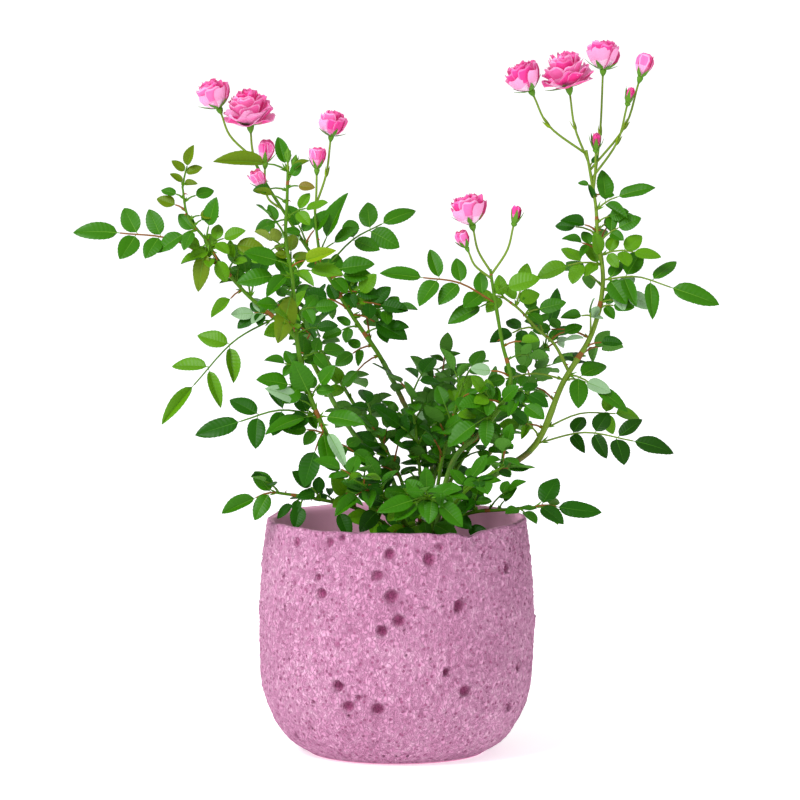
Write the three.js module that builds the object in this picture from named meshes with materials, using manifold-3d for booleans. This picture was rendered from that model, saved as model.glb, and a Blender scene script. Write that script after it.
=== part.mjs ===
// A miniature rose bush growing in its round textured pot.
// Millimetres, +Z up. The origin is the centre of the pot's flat underside, and the bush faces -Y.
import * as THREE from 'three';
import { mergeVertices } from 'three/addons/utils/BufferGeometryUtils.js';
import Module from 'manifold-3d';

const wasm = await Module();
wasm.setup();

// ---- Driving dimensions ----

const GAP = 0.3;

const POT = {
  height: 130,
  footRadius: 48,
  bellyRadius: 75.6,
  bellyHeight: 61,
  rimRadius: 71.4,
  rimWall: 4.5,
  bellyWall: 7,
  floor: 9,
  sides: 28,
};

const SOIL = { top: 108, clear: 0.6 };

const ROOT_CROWN = { x: 15, y: 0, height: 12.7, footRadius: 13, topRadius: 11 };

// Canes start inside the root crown's height and are cut off level, a gap above its top.
const CANE_CUT = SOIL.top + GAP + ROOT_CROWN.height + GAP;
const CANE_FOOT = CANE_CUT - 3;

const LEAFLET = { width: 0.62, widest: 0.45, thickness: 0.034, fold: 0.1, droop: 0.1 };

const RACHIS = { radius: 0.8, tip: 0.6, arch: 0.1, sunk: 1.2, straight: 25, stagger: 0.45 };

// Where the leaflet pairs sit, back from the rachis's end in lengths of the end leaflet, and the nearest that
// the first one comes to the stem, as a share of the rachis.
const PAIRS = { first: 0.36, next: 0.5, nearest: 0.3 };

const STALK = { radius: 0.85, tip: 0.6, sunk: 0.8, bendAcross: 0.74, bendUp: 0.52 };

const BRANCH = { radii: [1, 0.7], sides: 4 };

const STEM_SIDES = { bough: 7, mass: 5 };

const PAIR_SPREAD = 62;

// Edges shorter than this are smoothed away where pieces are fused.
const FUSE_TOLERANCE = 0.02;

// Leaves turn their upper face to the front, or to the back where they point further back than this.
const FRONT = new THREE.Vector3(0, -0.78, 0.62);
const BACK = new THREE.Vector3(0, 0.78, 0.62);
const FACES_BACK = 28;

// Outline of each kind of bloom as [share of the diameter, share of the diameter up from the hip's foot], with
// the height of its neck, where the hip ends.
const BLOOMS = {
  open: {
    neck: 0.2,
    outline: [[0, 0], [0.1, 0.1], [0.08, 0.2], [0.42, 0.34], [0.5, 0.5], [0.4, 0.74], [0, 0.92]],
  },
  cup: {
    neck: 0.22,
    outline: [[0, 0], [0.13, 0.12], [0.1, 0.22], [0.42, 0.42], [0.5, 0.66], [0.38, 0.94], [0, 1.08]],
  },
  bud: { neck: 0.36, outline: [[0, 0], [0.22, 0.2], [0.19, 0.36], [0.5, 0.8], [0.36, 1.22], [0, 1.46]] },
  small_bud: { neck: 0.3, outline: [[0, 0], [0.27, 0.3], [0.48, 0.9], [0, 1.85]] },
};

const BLOOM_SIDES = 7;

// Each cane follows its points. A place on it is counted in points: 2.5 is half way from point 2 to point 3.
// Its bough is bare, and each mass goes on from there along the same line.
// A compound leaf: [place, lean, depth, reach, pairs, size]. Lean turns from +X up towards +Z, depth turns
// back towards +Y, reach is the rachis and size is the end leaflet's length.
// A bloom: [kind, place, x, y, z, diameter], with its centre at x, y, z.
const CANES = [
  {
    points: [
      [23.5, 1, CANE_FOOT], [48, 4, 148], [76, 10, 168], [92, 14, 203], [108, 18, 230],
      [114, 20, 258], [111, 22, 284], [110, 24, 300], [104.5, 20, 331],
    ],
    radii: [2.1, 0.8],
    bough: { name: 'right_cane', to: 1.9 },
    masses: [
      {
        name: 'right_lower_leaves',
        to: 4,
        leaves: [
          [2.05, 3, -12, 54, 3, 25], [2.3, 10, 18, 42, 1, 17], [3.15, -22, -15, 16, 1, 25],
          [3.05, 178, -10, 33, 2, 13], [2.15, 130, -20, 12, 0, 13], [3.9, 168, 10, 22, 1, 12],
          [2.7, 150, 45, 20, 1, 16], [3.5, 20, 45, 20, 1, 17],
        ],
        branches: [
          {
            place: 3.2,
            points: [[86.6, 10, 225], [77.8, 6, 233], [67.4, 3, 244.5], [59, 2, 251]],
            leaves: [
              [1.2, 30, 15, 9, 0, 12], [1.7, 110, 20, 10, 1, 10], [2.1, 190, -20, 14, 1, 15],
              [2.7, 25, -10, 8, 1, 17], [3.2, 75, 10, 9, 1, 17], [3.93, 165, -15, 6, 1, 16],
            ],
          },
        ],
      },
      {
        name: 'right_upper_leaves',
        to: 6.9,
        leaves: [
          [4.5, 12, -20, 8, 1, 13], [5.05, -5, -15, 38, 3, 30], [5.35, 180, -8, 19, 2, 20],
          [5.55, 8, -20, 19, 2, 17], [6, 160, 10, 13, 0, 13], [6.15, 25, 30, 14, 1, 13],
          [6.85, 34, -10, 14, 1, 23], [4.9, 150, 50, 22, 1, 17], [5.75, 60, 55, 20, 1, 16],
        ],
      },
      {
        name: 'right_truss',
        to: 8,
        leaves: [[7.2, 10, 0, 4, 0, 8]],
        blooms: [
          ['cup', 7.92, 69, 12, 371, 18.5], ['open', 7.8, 92.7, 16, 375.5, 26],
          ['cup', 7.3, 114.7, 38, 382.5, 18],
          ['bud', 7.65, 137, 32, 377, 11.5], ['small_bud', 7.5, 129, 26, 361.5, 6.5],
          ['small_bud', 7.3, 109.7, 12, 337, 7],
        ],
      },
    ],
  },
  {
    points: [
      [20.3, -5.6, CANE_FOOT], [32, -12, 164], [48, -18, 181], [62, -22, 205], [57.5, -25, 229],
      [52, -26, 262], [51, -26, 269],
    ],
    radii: [1.6, 0.8],
    bough: { name: 'centre_cane', to: 1.9 },
    masses: [
      {
        name: 'centre_leaves',
        to: 4.8,
        leaves: [
          [2.3, 200, -15, 10, 1, 22], [2.75, -20, -40, 14, 1, 15], [3.2, 160, -20, 12, 0, 13],
          [3.6, 10, 30, 14, 1, 13], [3.9, 20, -30, 12, 0, 12], [4.6, 160, -5, 42, 3, 25],
        ],
      },
      {
        name: 'centre_truss',
        to: 6,
        leaves: [],
        blooms: [
          ['cup', 5.8, 38.2, -26, 301, 18.5], ['bud', 5.2, 35, -32, 285, 8.5],
          ['small_bud', 5.5, 65.7, -22, 299, 7],
        ],
      },
    ],
  },
  {
    points: [
      [8.2, -5.4, CANE_FOOT], [-13, -22, 143], [-34, -34, 172], [-48.7, -42, 207], [-55, -46, 241],
      [-56, -48, 265], [-59.7, -48, 287], [-59, -46, 308], [-58.6, -44, 324],
    ],
    radii: [1.7, 0.8],
    bough: { name: 'left_front_cane', to: 2 },
    masses: [
      {
        name: 'left_lower_leaves',
        to: 3.9,
        leaves: [
          [2.55, 184, -10, 42, 3, 27], [2.4, -50, -30, 6, 0, 24], [2.3, 245, -15, 12, 0, 22],
          [2.85, 150, -25, 14, 1, 20], [3.4, 20, 25, 14, 1, 15],
        ],
      },
      {
        name: 'left_middle_leaves',
        to: 6.1,
        leaves: [
          [4.85, 255, -12, 4, 0, 29], [5.05, 172, -10, 10, 1, 22], [5.15, 12, -15, 10, 1, 20],
          [5.65, 140, 30, 12, 1, 14], [4.3, 160, -25, 10, 0, 13],
        ],
      },
      {
        name: 'left_top_leaves',
        to: 8,
        leaves: [
          [7.95, 158, -15, 12, 0, 31], [7.9, 105, 10, 5, 0, 17], [6.5, 30, -20, 13, 1, 14],
          [7.3, 175, 15, 10, 0, 11],
        ],
        blooms: [['small_bud', 7.92, -58.6, -44, 333, 4.5], ['small_bud', 7.7, -54, -42, 329, 4.2]],
      },
    ],
  },
  {
    points: [
      [6.6, 1.8, CANE_FOOT], [-9, 8, 154], [-30, 12, 184], [-54, 12, 226], [-82.8, 6, 253],
      [-98, 0, 272], [-105, -4, 284], [-114, -6, 296], [-117, -8, 313],
    ],
    radii: [1.7, 0.6],
    bough: { name: 'left_long_cane', to: 2.6 },
    masses: [
      {
        name: 'left_reaching_leaves',
        to: 5,
        leaves: [
          [3.45, 219, -12, 58, 2, 30], [4.75, 161, -5, 60, 2, 27], [3.9, 100, 20, 14, 1, 15],
          [2.9, 60, 35, 15, 1, 17], [4.3, 80, 50, 18, 1, 17],
        ],
      },
      {
        name: 'left_tip_leaves',
        to: 8,
        leaves: [
          [5.8, 255, -10, 4, 0, 25], [5.6, 32, -10, 9, 1, 14], [6.4, 195, -10, 8, 1, 19],
          [6.9, 20, 10, 6, 0, 12],
          [7.2, 150, 10, 7, 0, 12], [7.5, 30, 10, 7, 0, 12], [7.95, 78, 0, 12, 2, 13],
        ],
      },
    ],
  },
  {
    points: [
      [12.8, 7.6, CANE_FOOT], [15.7, 14, 164], [3, 20, 193], [-9, 24, 216], [-23.4, 28, 237],
      [-37, 30, 259], [-48, 30, 274], [-60.8, 28, 294], [-73, 24, 314], [-80, 24, 328],
    ],
    radii: [1.7, 0.75],
    bough: { name: 'bloom_cane', to: 2.9 },
    masses: [
      {
        name: 'bloom_cane_leaves',
        to: 6.4,
        leaves: [
          [3.05, 215, -10, 15, 0, 13], [3.4, 100, 40, 20, 1, 16], [4, 15, -15, 24, 2, 14],
          [4.5, 200, 40, 18, 1, 16],
          [5, 15, -10, 7, 1, 18], [5.3, 38, 15, 42, 2, 24], [5.6, 72, -12, 14, 0, 31],
        ],
        branches: [
          {
            place: 5.4,
            points: [[-44, 25, 284], [-45.4, 24, 301]],
            leaves: [],
            blooms: [['cup', 1.85, -35, 22, 345.5, 15.5], ['bud', 1.7, -43.7, 22, 326.5, 10.5]],
          },
        ],
      },
      {
        name: 'left_truss',
        to: 9,
        leaves: [[6.9, 190, -20, 8, 0, 13]],
        blooms: [
          ['cup', 8.9, -102, 20, 361, 18], ['open', 8.7, -82.2, 20, 354.5, 26], ['bud', 8, -70, 30, 328, 11],
          ['bud', 7.2, -79, 18, 311, 9.5],
        ],
      },
    ],
  },
];

// Canes that fill the crown behind and in front: their leaves follow the seeded rule alone.
const FILLERS = [
  {
    bough: { name: 'back_left_cane', to: 1.4 },
    masses: [{ name: 'back_left_leaves', to: 4, seeded: 6, size: 20 }],
    points: [[9.2, 5.8, CANE_FOOT], [-8, 34, 160], [-30, 62, 196], [-50, 82, 226], [-60, 94, 246]],
    radii: [1.5, 0.7],
  },
  {
    bough: { name: 'back_centre_cane', to: 1.2 },
    masses: [{ name: 'back_centre_leaves', to: 3, seeded: 4, size: 19 }],
    points: [[17.3, 8.2, CANE_FOOT], [20, 42, 156], [24, 68, 182], [26, 86, 200]],
    radii: [1.5, 0.7],
  },
  {
    bough: { name: 'back_right_cane', to: 1.3 },
    masses: [{ name: 'back_right_leaves', to: 3, seeded: 5, size: 20 }],
    points: [[21.5, 5.6, CANE_FOOT], [50, 38, 158], [72, 64, 188], [84, 82, 216]],
    radii: [1.5, 0.7],
  },
  {
    masses: [{ name: 'front_right_leaves', to: 2, seeded: 4, size: 17 }],
    points: [[17.6, -9.6, CANE_FOOT], [38, -44, 150], [58, -64, 166]],
    radii: [1.3, 0.7],
  },
  {
    masses: [{ name: 'front_left_leaves', to: 2, seeded: 4, size: 18 }],
    points: [[11.3, -9.8, CANE_FOOT], [-8, -50, 148], [-24, -70, 160]],
    radii: [1.3, 0.7],
  },
];

const LOW_SHOOTS = [
  {
    points: [[24, -3.8, CANE_FOOT], [38, -14, 133], [60, -24, 137], [76, -29, 139]],
    radii: [1.2, 0.8],
    masses: [
      {
        name: 'low_right_leaves',
        to: 3,
        leaves: [[1.3, 120, -25, 8, 1, 14], [1.8, 60, -15, 6, 0, 12], [2.95, 2, -5, 12, 1, 26]],
      },
    ],
  },
  {
    points: [[4.9, -2.2, CANE_FOOT], [-20, -17, 136], [-44, -24, 143], [-66, -29, 147]],
    radii: [1.2, 0.8],
    masses: [
      {
        name: 'low_left_leaves',
        to: 3,
        leaves: [
          [1.3, 60, -20, 8, 1, 14], [1.9, 125, -15, 9, 1, 15], [2.3, 250, -30, 6, 0, 14],
          [2.95, 192, -5, 12, 1, 22],
        ],
      },
    ],
  },
  {
    points: [[14.5, -9, CANE_FOOT], [12, -32, 141], [14, -54, 147], [18, -64, 148]],
    radii: [1.2, 0.8],
    masses: [
      {
        name: 'front_rim_leaves',
        to: 3,
        leaves: [
          [1.4, 150, -30, 9, 1, 15], [1.9, 30, -30, 10, 1, 18], [2.6, 200, -40, 8, 1, 18],
          [2.95, -25, -30, 7, 1, 19],
        ],
      },
    ],
  },
];

// Short leafy shoots in the heart of the bush: [foot x, foot y, tip x, tip y, tip z].
const HEART_SHOOTS = [
  [15, 1.2, 8, 6, 198],
  [19, -1.5, 36, -10, 204],
  [19, 2.6, 54, 12, 186],
  [15.6, 3.6, 34, 24, 192],
  [11.3, 1.5, -14, 4, 182],
];
const HEART = { radii: [1.3, 0.7], leaves: 4, size: 19 };

const SEEDED = { first: 0.3, end: 0.97, turn: 137.5, outward: 0.85, reach: [8, 16], size: [0.85, 1.15] };

// ---- Seeded numbers ----

let state = 1;

function seedWith(name) {
  state = 1;
  for (const letter of name) {
    state = (Math.imul(state, 31) + letter.charCodeAt(0)) >>> 0;
  }
}

function between(low, high) {
  state = (Math.imul(state, 1664525) + 1013904223) >>> 0;
  return low + ((high - low) * state) / 4294967296;
}

// ---- Closed meshes and solids ----

function solidOf(geometry) {
  const bare = geometry.clone();
  bare.deleteAttribute('normal');
  bare.deleteAttribute('uv');
  const merged = mergeVertices(bare, 1e-4);
  const corners = merged.index.array;
  const kept = [];
  for (let i = 0; i < corners.length; i += 3) {
    const [a, b, c] = [corners[i], corners[i + 1], corners[i + 2]];
    if (a !== b && b !== c && c !== a) {
      kept.push(a, b, c);
    }
  }
  const mesh = new wasm.Mesh({
    numProp: 3,
    vertProperties: Float32Array.from(merged.attributes.position.array),
    triVerts: Uint32Array.from(kept),
  });
  return new wasm.Manifold(mesh);
}

function geometryOf(solid) {
  const mesh = solid.getMesh();
  const geometry = new THREE.BufferGeometry();
  geometry.setAttribute('position', new THREE.BufferAttribute(mesh.vertProperties, 3));
  geometry.setIndex(new THREE.BufferAttribute(mesh.triVerts, 1));
  return geometry.toNonIndexed();
}

// The joined solid's largest body: scraps go, and a hollow that joining sealed is filled.
function fused(solids) {
  const bodies = wasm.Manifold.union(solids).decompose();
  const largest = bodies.reduce((best, body) => (body.volume() > best.volume() ? body : best));
  return largest.simplify(FUSE_TOLERANCE);
}

function boxesMeet(first, second) {
  const a = first.boundingBox();
  const b = second.boundingBox();
  return [0, 1, 2].every((axis) => a.min[axis] < b.max[axis] + GAP && b.min[axis] < a.max[axis] + GAP);
}

function isClear(solid, obstacles) {
  return obstacles.every((other) => !boxesMeet(solid, other) || solid.minGap(other, 1) >= GAP);
}

// ---- Limbs, leaves and blooms ----

// A tapering limb with flat ends along a stretch of a curve, counted in its points.
function limb(curve, from, to, radii, sides, steps) {
  const last = curve.points.length - 1;
  const middle = curve.getTangent((from + to) / 2 / last);
  const reference = Math.abs(middle.y) > 0.8 ? new THREE.Vector3(1, 0, 0) : new THREE.Vector3(0, 1, 0);
  const positions = [];
  const faces = [];
  for (let ring = 0; ring <= steps; ring += 1) {
    const along = (from + ((to - from) * ring) / steps) / last;
    const radius = radii[0] + (radii[1] - radii[0]) * along;
    const heading = curve.getTangent(along);
    const across = new THREE.Vector3().crossVectors(heading, reference).normalize();
    const over = new THREE.Vector3().crossVectors(heading, across);
    for (let side = 0; side < sides; side += 1) {
      const turn = (2 * Math.PI * side) / sides;
      const point = curve.getPoint(along);
      point.addScaledVector(across, Math.cos(turn) * radius).addScaledVector(over, Math.sin(turn) * radius);
      positions.push(point.x, point.y, point.z);
    }
  }
  for (let side = 0; side < sides; side += 1) {
    const next = (side + 1) % sides;
    for (let ring = 0; ring < steps; ring += 1) {
      const [low, high] = [ring * sides, (ring + 1) * sides];
      faces.push(low + side, low + next, high + next, low + side, high + next, high + side);
    }
  }
  const top = steps * sides;
  for (let side = 1; side < sides - 1; side += 1) {
    faces.push(0, side + 1, side, top, top + side, top + side + 1);
  }
  return solidOf(meshGeometry(positions, faces));
}

function meshGeometry(positions, faces) {
  const geometry = new THREE.BufferGeometry();
  geometry.setAttribute('position', new THREE.Float32BufferAttribute(positions, 3));
  geometry.setIndex(faces);
  return geometry;
}

function curveThrough(points) {
  return new THREE.CatmullRomCurve3(points.map((point) => new THREE.Vector3(...point)), false, 'centripetal');
}

// One oval leaflet from its foot along a heading, with its upper face towards a normal.
function leaflet(foot, heading, normal, length) {
  const across = new THREE.Vector3().crossVectors(normal, heading).normalize();
  const up = new THREE.Vector3().crossVectors(heading, across);
  const half = (length * LEAFLET.width) / 2;
  const thick = (length * LEAFLET.thickness) / 2 + 0.1;
  const lift = half * LEAFLET.fold;
  const sag = -length * LEAFLET.droop;
  const corners = [
    [0, 0, 0], [LEAFLET.widest, half, lift], [1, 0, sag], [LEAFLET.widest, -half, lift],
    [LEAFLET.widest, 0, thick], [LEAFLET.widest, 0, -thick],
  ];
  const faces = [[0, 4, 1], [1, 4, 2], [2, 4, 3], [3, 4, 0], [1, 5, 0], [2, 5, 1], [3, 5, 2], [0, 5, 3]];
  const positions = [];
  for (const [along, side, height] of corners) {
    const point = foot.clone().addScaledVector(heading, along * length);
    point.addScaledVector(across, side).addScaledVector(up, height);
    positions.push(point.x, point.y, point.z);
  }
  return solidOf(meshGeometry(positions, faces.flat()));
}

function headingOf(lean, depth) {
  const [turn, back] = [THREE.MathUtils.degToRad(lean), THREE.MathUtils.degToRad(depth)];
  return new THREE.Vector3(Math.cos(back) * Math.cos(turn), Math.sin(back), Math.cos(back) * Math.sin(turn));
}

// The point at a share of a curve, on the straight pieces that its limb is built from.
function pointOnLimb(curve, share, steps) {
  const piece = Math.min(Math.floor(share * steps), steps - 1);
  const [low, high] = [curve.getPoint(piece / steps), curve.getPoint((piece + 1) / steps)];
  return low.lerp(high, share * steps - piece);
}

// A compound leaf as its rachis and its leaflets: pairs along the rachis and one at its end.
function compoundLeaf(foot, heading, facing, reach, pairs, size) {
  const end = foot.clone().addScaledVector(heading, reach);
  const bend = foot.clone().lerp(end, 0.5);
  bend.z += reach * RACHIS.arch;
  const curve = curveThrough([foot.toArray(), bend.toArray(), end.toArray()]);
  const steps = reach > RACHIS.straight ? 2 : 1;
  const rachis = limb(curve, 0, 2, [RACHIS.radius, RACHIS.tip], 3, steps);
  const leaflets = [];
  const tip = curve.getTangent(1);
  leaflets.push(leaflet(end.clone().addScaledVector(tip, -RACHIS.sunk), tip, tilted(facing), size));
  for (let pair = 0; pair < pairs; pair += 1) {
    const back = (size * (PAIRS.first + PAIRS.next * pair)) / reach;
    const share = Math.max(1 - back, (PAIRS.nearest * (pairs - pair)) / pairs);
    const along = curve.getTangent(share);
    const sideSize = size * Math.max(0.78 - 0.1 * pair, 0.45);
    for (const side of [-1, 1]) {
      const normal = tilted(facing);
      const spread = THREE.MathUtils.degToRad(side * (PAIR_SPREAD + between(-9, 9)));
      const out = along.clone().applyAxisAngle(normal.clone().projectOnPlane(along).normalize(), spread);
      const joint = pointOnLimb(curve, share, steps).addScaledVector(along, side * RACHIS.stagger);
      leaflets.push(leaflet(joint, out, normal, sideSize * between(0.9, 1.1)));
    }
  }
  return { rachis, leaflets };
}

function tilted(facing) {
  const lean = new THREE.Vector3(between(-0.3, 0.3), between(-0.2, 0.2), between(-0.25, 0.25));
  return lean.add(facing).normalize();
}

// A stalk leaves the stem outwards and turns up into the hip.
function stalkTo(start, hip) {
  const bend = start.clone().lerp(hip, STALK.bendAcross);
  bend.z = start.z + (hip.z - start.z) * STALK.bendUp;
  return curveThrough([start.toArray(), bend.toArray(), hip.toArray()]);
}

// A bloom on its stalk. The head stands on in line with the stalk's end, its middle at the centre.
function bloomOn(start, kind, centre, diameter) {
  const { neck, outline } = BLOOMS[kind];
  const rise = ((neck + outline[outline.length - 1][1]) / 2) * diameter;
  const upright = stalkTo(start, centre.clone().add(new THREE.Vector3(0, 0, -rise)));
  const hip = centre.clone().addScaledVector(upright.getTangent(1), -rise);
  const curve = stalkTo(start, hip);
  const axis = curve.getTangent(1);
  const profile = outline.map(([radius, rise]) => new THREE.Vector2(radius * diameter, rise * diameter));
  const head = new THREE.LatheGeometry(profile, BLOOM_SIDES);
  head.applyQuaternion(new THREE.Quaternion().setFromUnitVectors(new THREE.Vector3(0, 1, 0), axis));
  const foot = hip.clone().addScaledVector(axis, -STALK.sunk);
  head.translate(foot.x, foot.y, foot.z);
  return [limb(curve, 0, 2, [STALK.radius, STALK.tip], 3, 3), solidOf(head)];
}

// ---- Pot, soil and root crown ----

function potOutside() {
  const wall = new THREE.SplineCurve([
    new THREE.Vector2(POT.footRadius, 0),
    new THREE.Vector2(POT.footRadius + 13, 9),
    new THREE.Vector2(POT.bellyRadius - 3, 31),
    new THREE.Vector2(POT.bellyRadius, POT.bellyHeight),
    new THREE.Vector2(POT.bellyRadius - 1.6, 105),
    new THREE.Vector2(POT.rimRadius, POT.height),
  ]);
  return wall.getPoints(9);
}

function potInside() {
  const wall = new THREE.SplineCurve([
    new THREE.Vector2(POT.footRadius - 6, POT.floor),
    new THREE.Vector2(POT.bellyRadius - POT.bellyWall - 4, 31),
    new THREE.Vector2(POT.bellyRadius - POT.bellyWall, POT.bellyHeight),
    new THREE.Vector2(POT.rimRadius - POT.rimWall, POT.height),
  ]);
  return wall.getPoints(6);
}

function pot() {
  const [underside, floor] = [new THREE.Vector2(0, 0), new THREE.Vector2(0, POT.floor)];
  const profile = [underside, ...potOutside(), ...potInside().reverse(), floor];
  return turned(profile, POT.sides);
}

function soil() {
  const wall = potInside().filter((point) => point.y < SOIL.top - 8);
  const inset = wall.map((point) => new THREE.Vector2(point.x - SOIL.clear, point.y + SOIL.clear));
  const topRadius = POT.rimRadius - POT.rimWall - SOIL.clear - 1;
  const profile = [
    new THREE.Vector2(0, POT.floor + SOIL.clear),
    ...inset,
    new THREE.Vector2(topRadius, SOIL.top - 3),
    new THREE.Vector2(topRadius - 14, SOIL.top),
    new THREE.Vector2(0, SOIL.top),
  ];
  return turned(profile, POT.sides);
}

function rootCrown() {
  const { x, y, height, footRadius, topRadius } = ROOT_CROWN;
  const profile = [
    new THREE.Vector2(0, 0),
    new THREE.Vector2(footRadius, 0),
    new THREE.Vector2(topRadius - 1.5, height * 0.45),
    new THREE.Vector2(topRadius, height),
    new THREE.Vector2(0, height),
  ];
  return turned(profile, 14).translate([x, y, SOIL.top + GAP]);
}

// A profile of [radius, height] turned about the vertical axis.
function turned(profile, sides) {
  const geometry = new THREE.LatheGeometry(profile, sides);
  geometry.rotateX(Math.PI / 2);
  return solidOf(geometry);
}

// ---- The plant ----

// How far along the curve, counted in points, the end gap reaches at a place.
function gapAt(curve, place) {
  const last = curve.points.length - 1;
  const step = 0.05;
  const near = Math.min(place, last - step);
  const length = curve.getPoint((near + step) / last).distanceTo(curve.getPoint(near / last));
  return ((GAP + 0.15) * step) / length;
}

// Each cane cut into its bough and its masses' stems.
function cutCane(cane) {
  const curve = curveThrough(cane.points);
  const cuts = [];
  let from = 0;
  for (const part of [cane.bough, ...cane.masses].filter(Boolean)) {
    const isBough = part === cane.bough;
    const sides = isBough ? STEM_SIDES.bough : STEM_SIDES.mass;
    const start = from === 0 ? 0 : from + gapAt(curve, from);
    const steps = Math.max(2, Math.round((part.to - start) * 2));
    const whole = limb(curve, start, part.to, cane.radii, sides, steps);
    const solid = whole.trimByPlane([0, 0, 1], CANE_CUT);
    cuts.push({ ...part, curve, start, isBough, solid });
    from = part.to;
  }
  return cuts;
}

// The seeded rule: leaves turn round the stem by a fixed angle and point out and up along it.
function seededLeaves(part) {
  const last = part.curve.points.length - 1;
  const rows = [];
  for (let i = 0; i < part.seeded; i += 1) {
    const share = SEEDED.first + ((SEEDED.end - SEEDED.first) * (i + 1)) / part.seeded;
    const place = part.start + (part.to - part.start) * share;
    const along = part.curve.getTangent(place / last);
    const round = THREE.MathUtils.degToRad(SEEDED.turn * i + between(-20, 20));
    const across = new THREE.Vector3().crossVectors(along, new THREE.Vector3(1, 0, 0)).normalize();
    const out = across.applyAxisAngle(along, round).multiplyScalar(SEEDED.outward).add(along).normalize();
    const reach = between(...SEEDED.reach);
    const size = part.size * between(...SEEDED.size);
    const facing = new THREE.Vector3(0, Math.sign(out.y) * 0.5, 0.86);
    rows.push({ place, heading: out, facing, reach, pairs: 1, size });
  }
  return rows;
}

function listedLeaves(rows) {
  return rows.map(([place, lean, depth, reach, pairs, size]) => {
    const facing = depth > FACES_BACK ? BACK : FRONT;
    return { place, heading: headingOf(lean, depth), facing, reach, pairs, size };
  });
}

function growLeaves(curve, rows, obstacles, pieces) {
  const last = curve.points.length - 1;
  for (const row of rows) {
    const foot = curve.getPoint(row.place / last);
    const leaf = compoundLeaf(foot, row.heading, row.facing, row.reach, row.pairs, row.size);
    if (!isClear(leaf.rachis, obstacles)) {
      continue;
    }
    pieces.push(leaf.rachis, ...leaf.leaflets.filter((blade) => isClear(blade, obstacles)));
  }
}

function growBlooms(curve, blooms, obstacles, pieces) {
  const last = curve.points.length - 1;
  for (const [kind, place, x, y, z, diameter] of blooms) {
    const solids = bloomOn(curve.getPoint(place / last), kind, new THREE.Vector3(x, y, z), diameter);
    if (solids.every((solid) => isClear(solid, obstacles))) {
      pieces.push(...solids);
    }
  }
}

// A mass: its stem with branches, leaves and blooms fused on, clear of everything that already stands.
function growMass(part, obstacles) {
  seedWith(part.name);
  const pieces = [part.solid];
  const rows = part.seeded ? seededLeaves(part) : listedLeaves(part.leaves);
  growLeaves(part.curve, rows, obstacles, pieces);
  growBlooms(part.curve, part.blooms ?? [], obstacles, pieces);
  for (const branch of part.branches ?? []) {
    const root = part.curve.getPoint(branch.place / (part.curve.points.length - 1));
    const curve = curveThrough([root.toArray(), ...branch.points]);
    const steps = branch.points.length * 2;
    pieces.push(limb(curve, 0, branch.points.length, BRANCH.radii, BRANCH.sides, steps));
    growLeaves(curve, listedLeaves(branch.leaves), obstacles, pieces);
    growBlooms(curve, branch.blooms ?? [], obstacles, pieces);
  }
  return fused(pieces);
}

function heartCane([x, y, tipX, tipY, tipZ], index) {
  const middle = [x + (tipX - x) * 0.35, y + (tipY - y) * 0.35, CANE_FOOT + (tipZ - CANE_FOOT) * 0.5];
  return {
    points: [[x, y, CANE_FOOT], middle, [tipX, tipY, tipZ]],
    radii: HEART.radii,
    masses: [{ name: `heart_leaves_${index + 1}`, to: 2, seeded: HEART.leaves, size: HEART.size }],
  };
}

// ---- Colours ----

const COLOURS = {
  pot: { color: 0xc48aae, roughness: 0.9, metalness: 0 },
  soil: { color: 0x4a3426, roughness: 1, metalness: 0 },
  bark: { color: 0x5c7c34, roughness: 0.6, metalness: 0 },
  leaf: { color: 0x3c7d18, roughness: 0.5, metalness: 0 },
  young: { color: 0x7a9a2c, roughness: 0.5, metalness: 0 },
  bloom: { color: 0xe86aae, roughness: 0.6, metalness: 0 },
};
const YOUNG_MASSES = ['left_tip_leaves', 'left_top_leaves', 'left_middle_leaves'];

function colourOf(part) {
  if (part.isBough) {
    return COLOURS.bark;
  }
  if (part.name.endsWith('truss')) {
    return COLOURS.bloom;
  }
  return YOUNG_MASSES.includes(part.name) ? COLOURS.young : COLOURS.leaf;
}

// ---- Assembly ----

const group = new THREE.Group();

function addNode(name, solid, colour) {
  const mesh = new THREE.Mesh(geometryOf(solid), new THREE.MeshStandardMaterial(colour));
  mesh.name = name;
  group.add(mesh);
}

const fixed = { pot: pot(), soil: soil(), root_crown: rootCrown() };
addNode('pot', fixed.pot, COLOURS.pot);
addNode('soil', fixed.soil, COLOURS.soil);
addNode('root_crown', fixed.root_crown, COLOURS.bark);

const parts = [...CANES, ...LOW_SHOOTS, ...FILLERS, ...HEART_SHOOTS.map(heartCane)].flatMap(cutCane);
for (const part of parts) {
  if (!part.isBough) {
    const others = parts.filter((other) => other !== part).map((other) => other.solid);
    part.solid = growMass(part, [...Object.values(fixed), ...others]);
  }
  addNode(part.name, part.solid, colourOf(part));
}

export default group;
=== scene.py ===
"""A miniature rose bush in its pitted cement pot, dressed over the part's solids."""

import logging
import math
from collections.abc import Callable, Sequence
from dataclasses import dataclass, field
from enum import Enum

import bpy
import numpy as np
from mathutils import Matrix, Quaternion, Vector, noise


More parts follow.
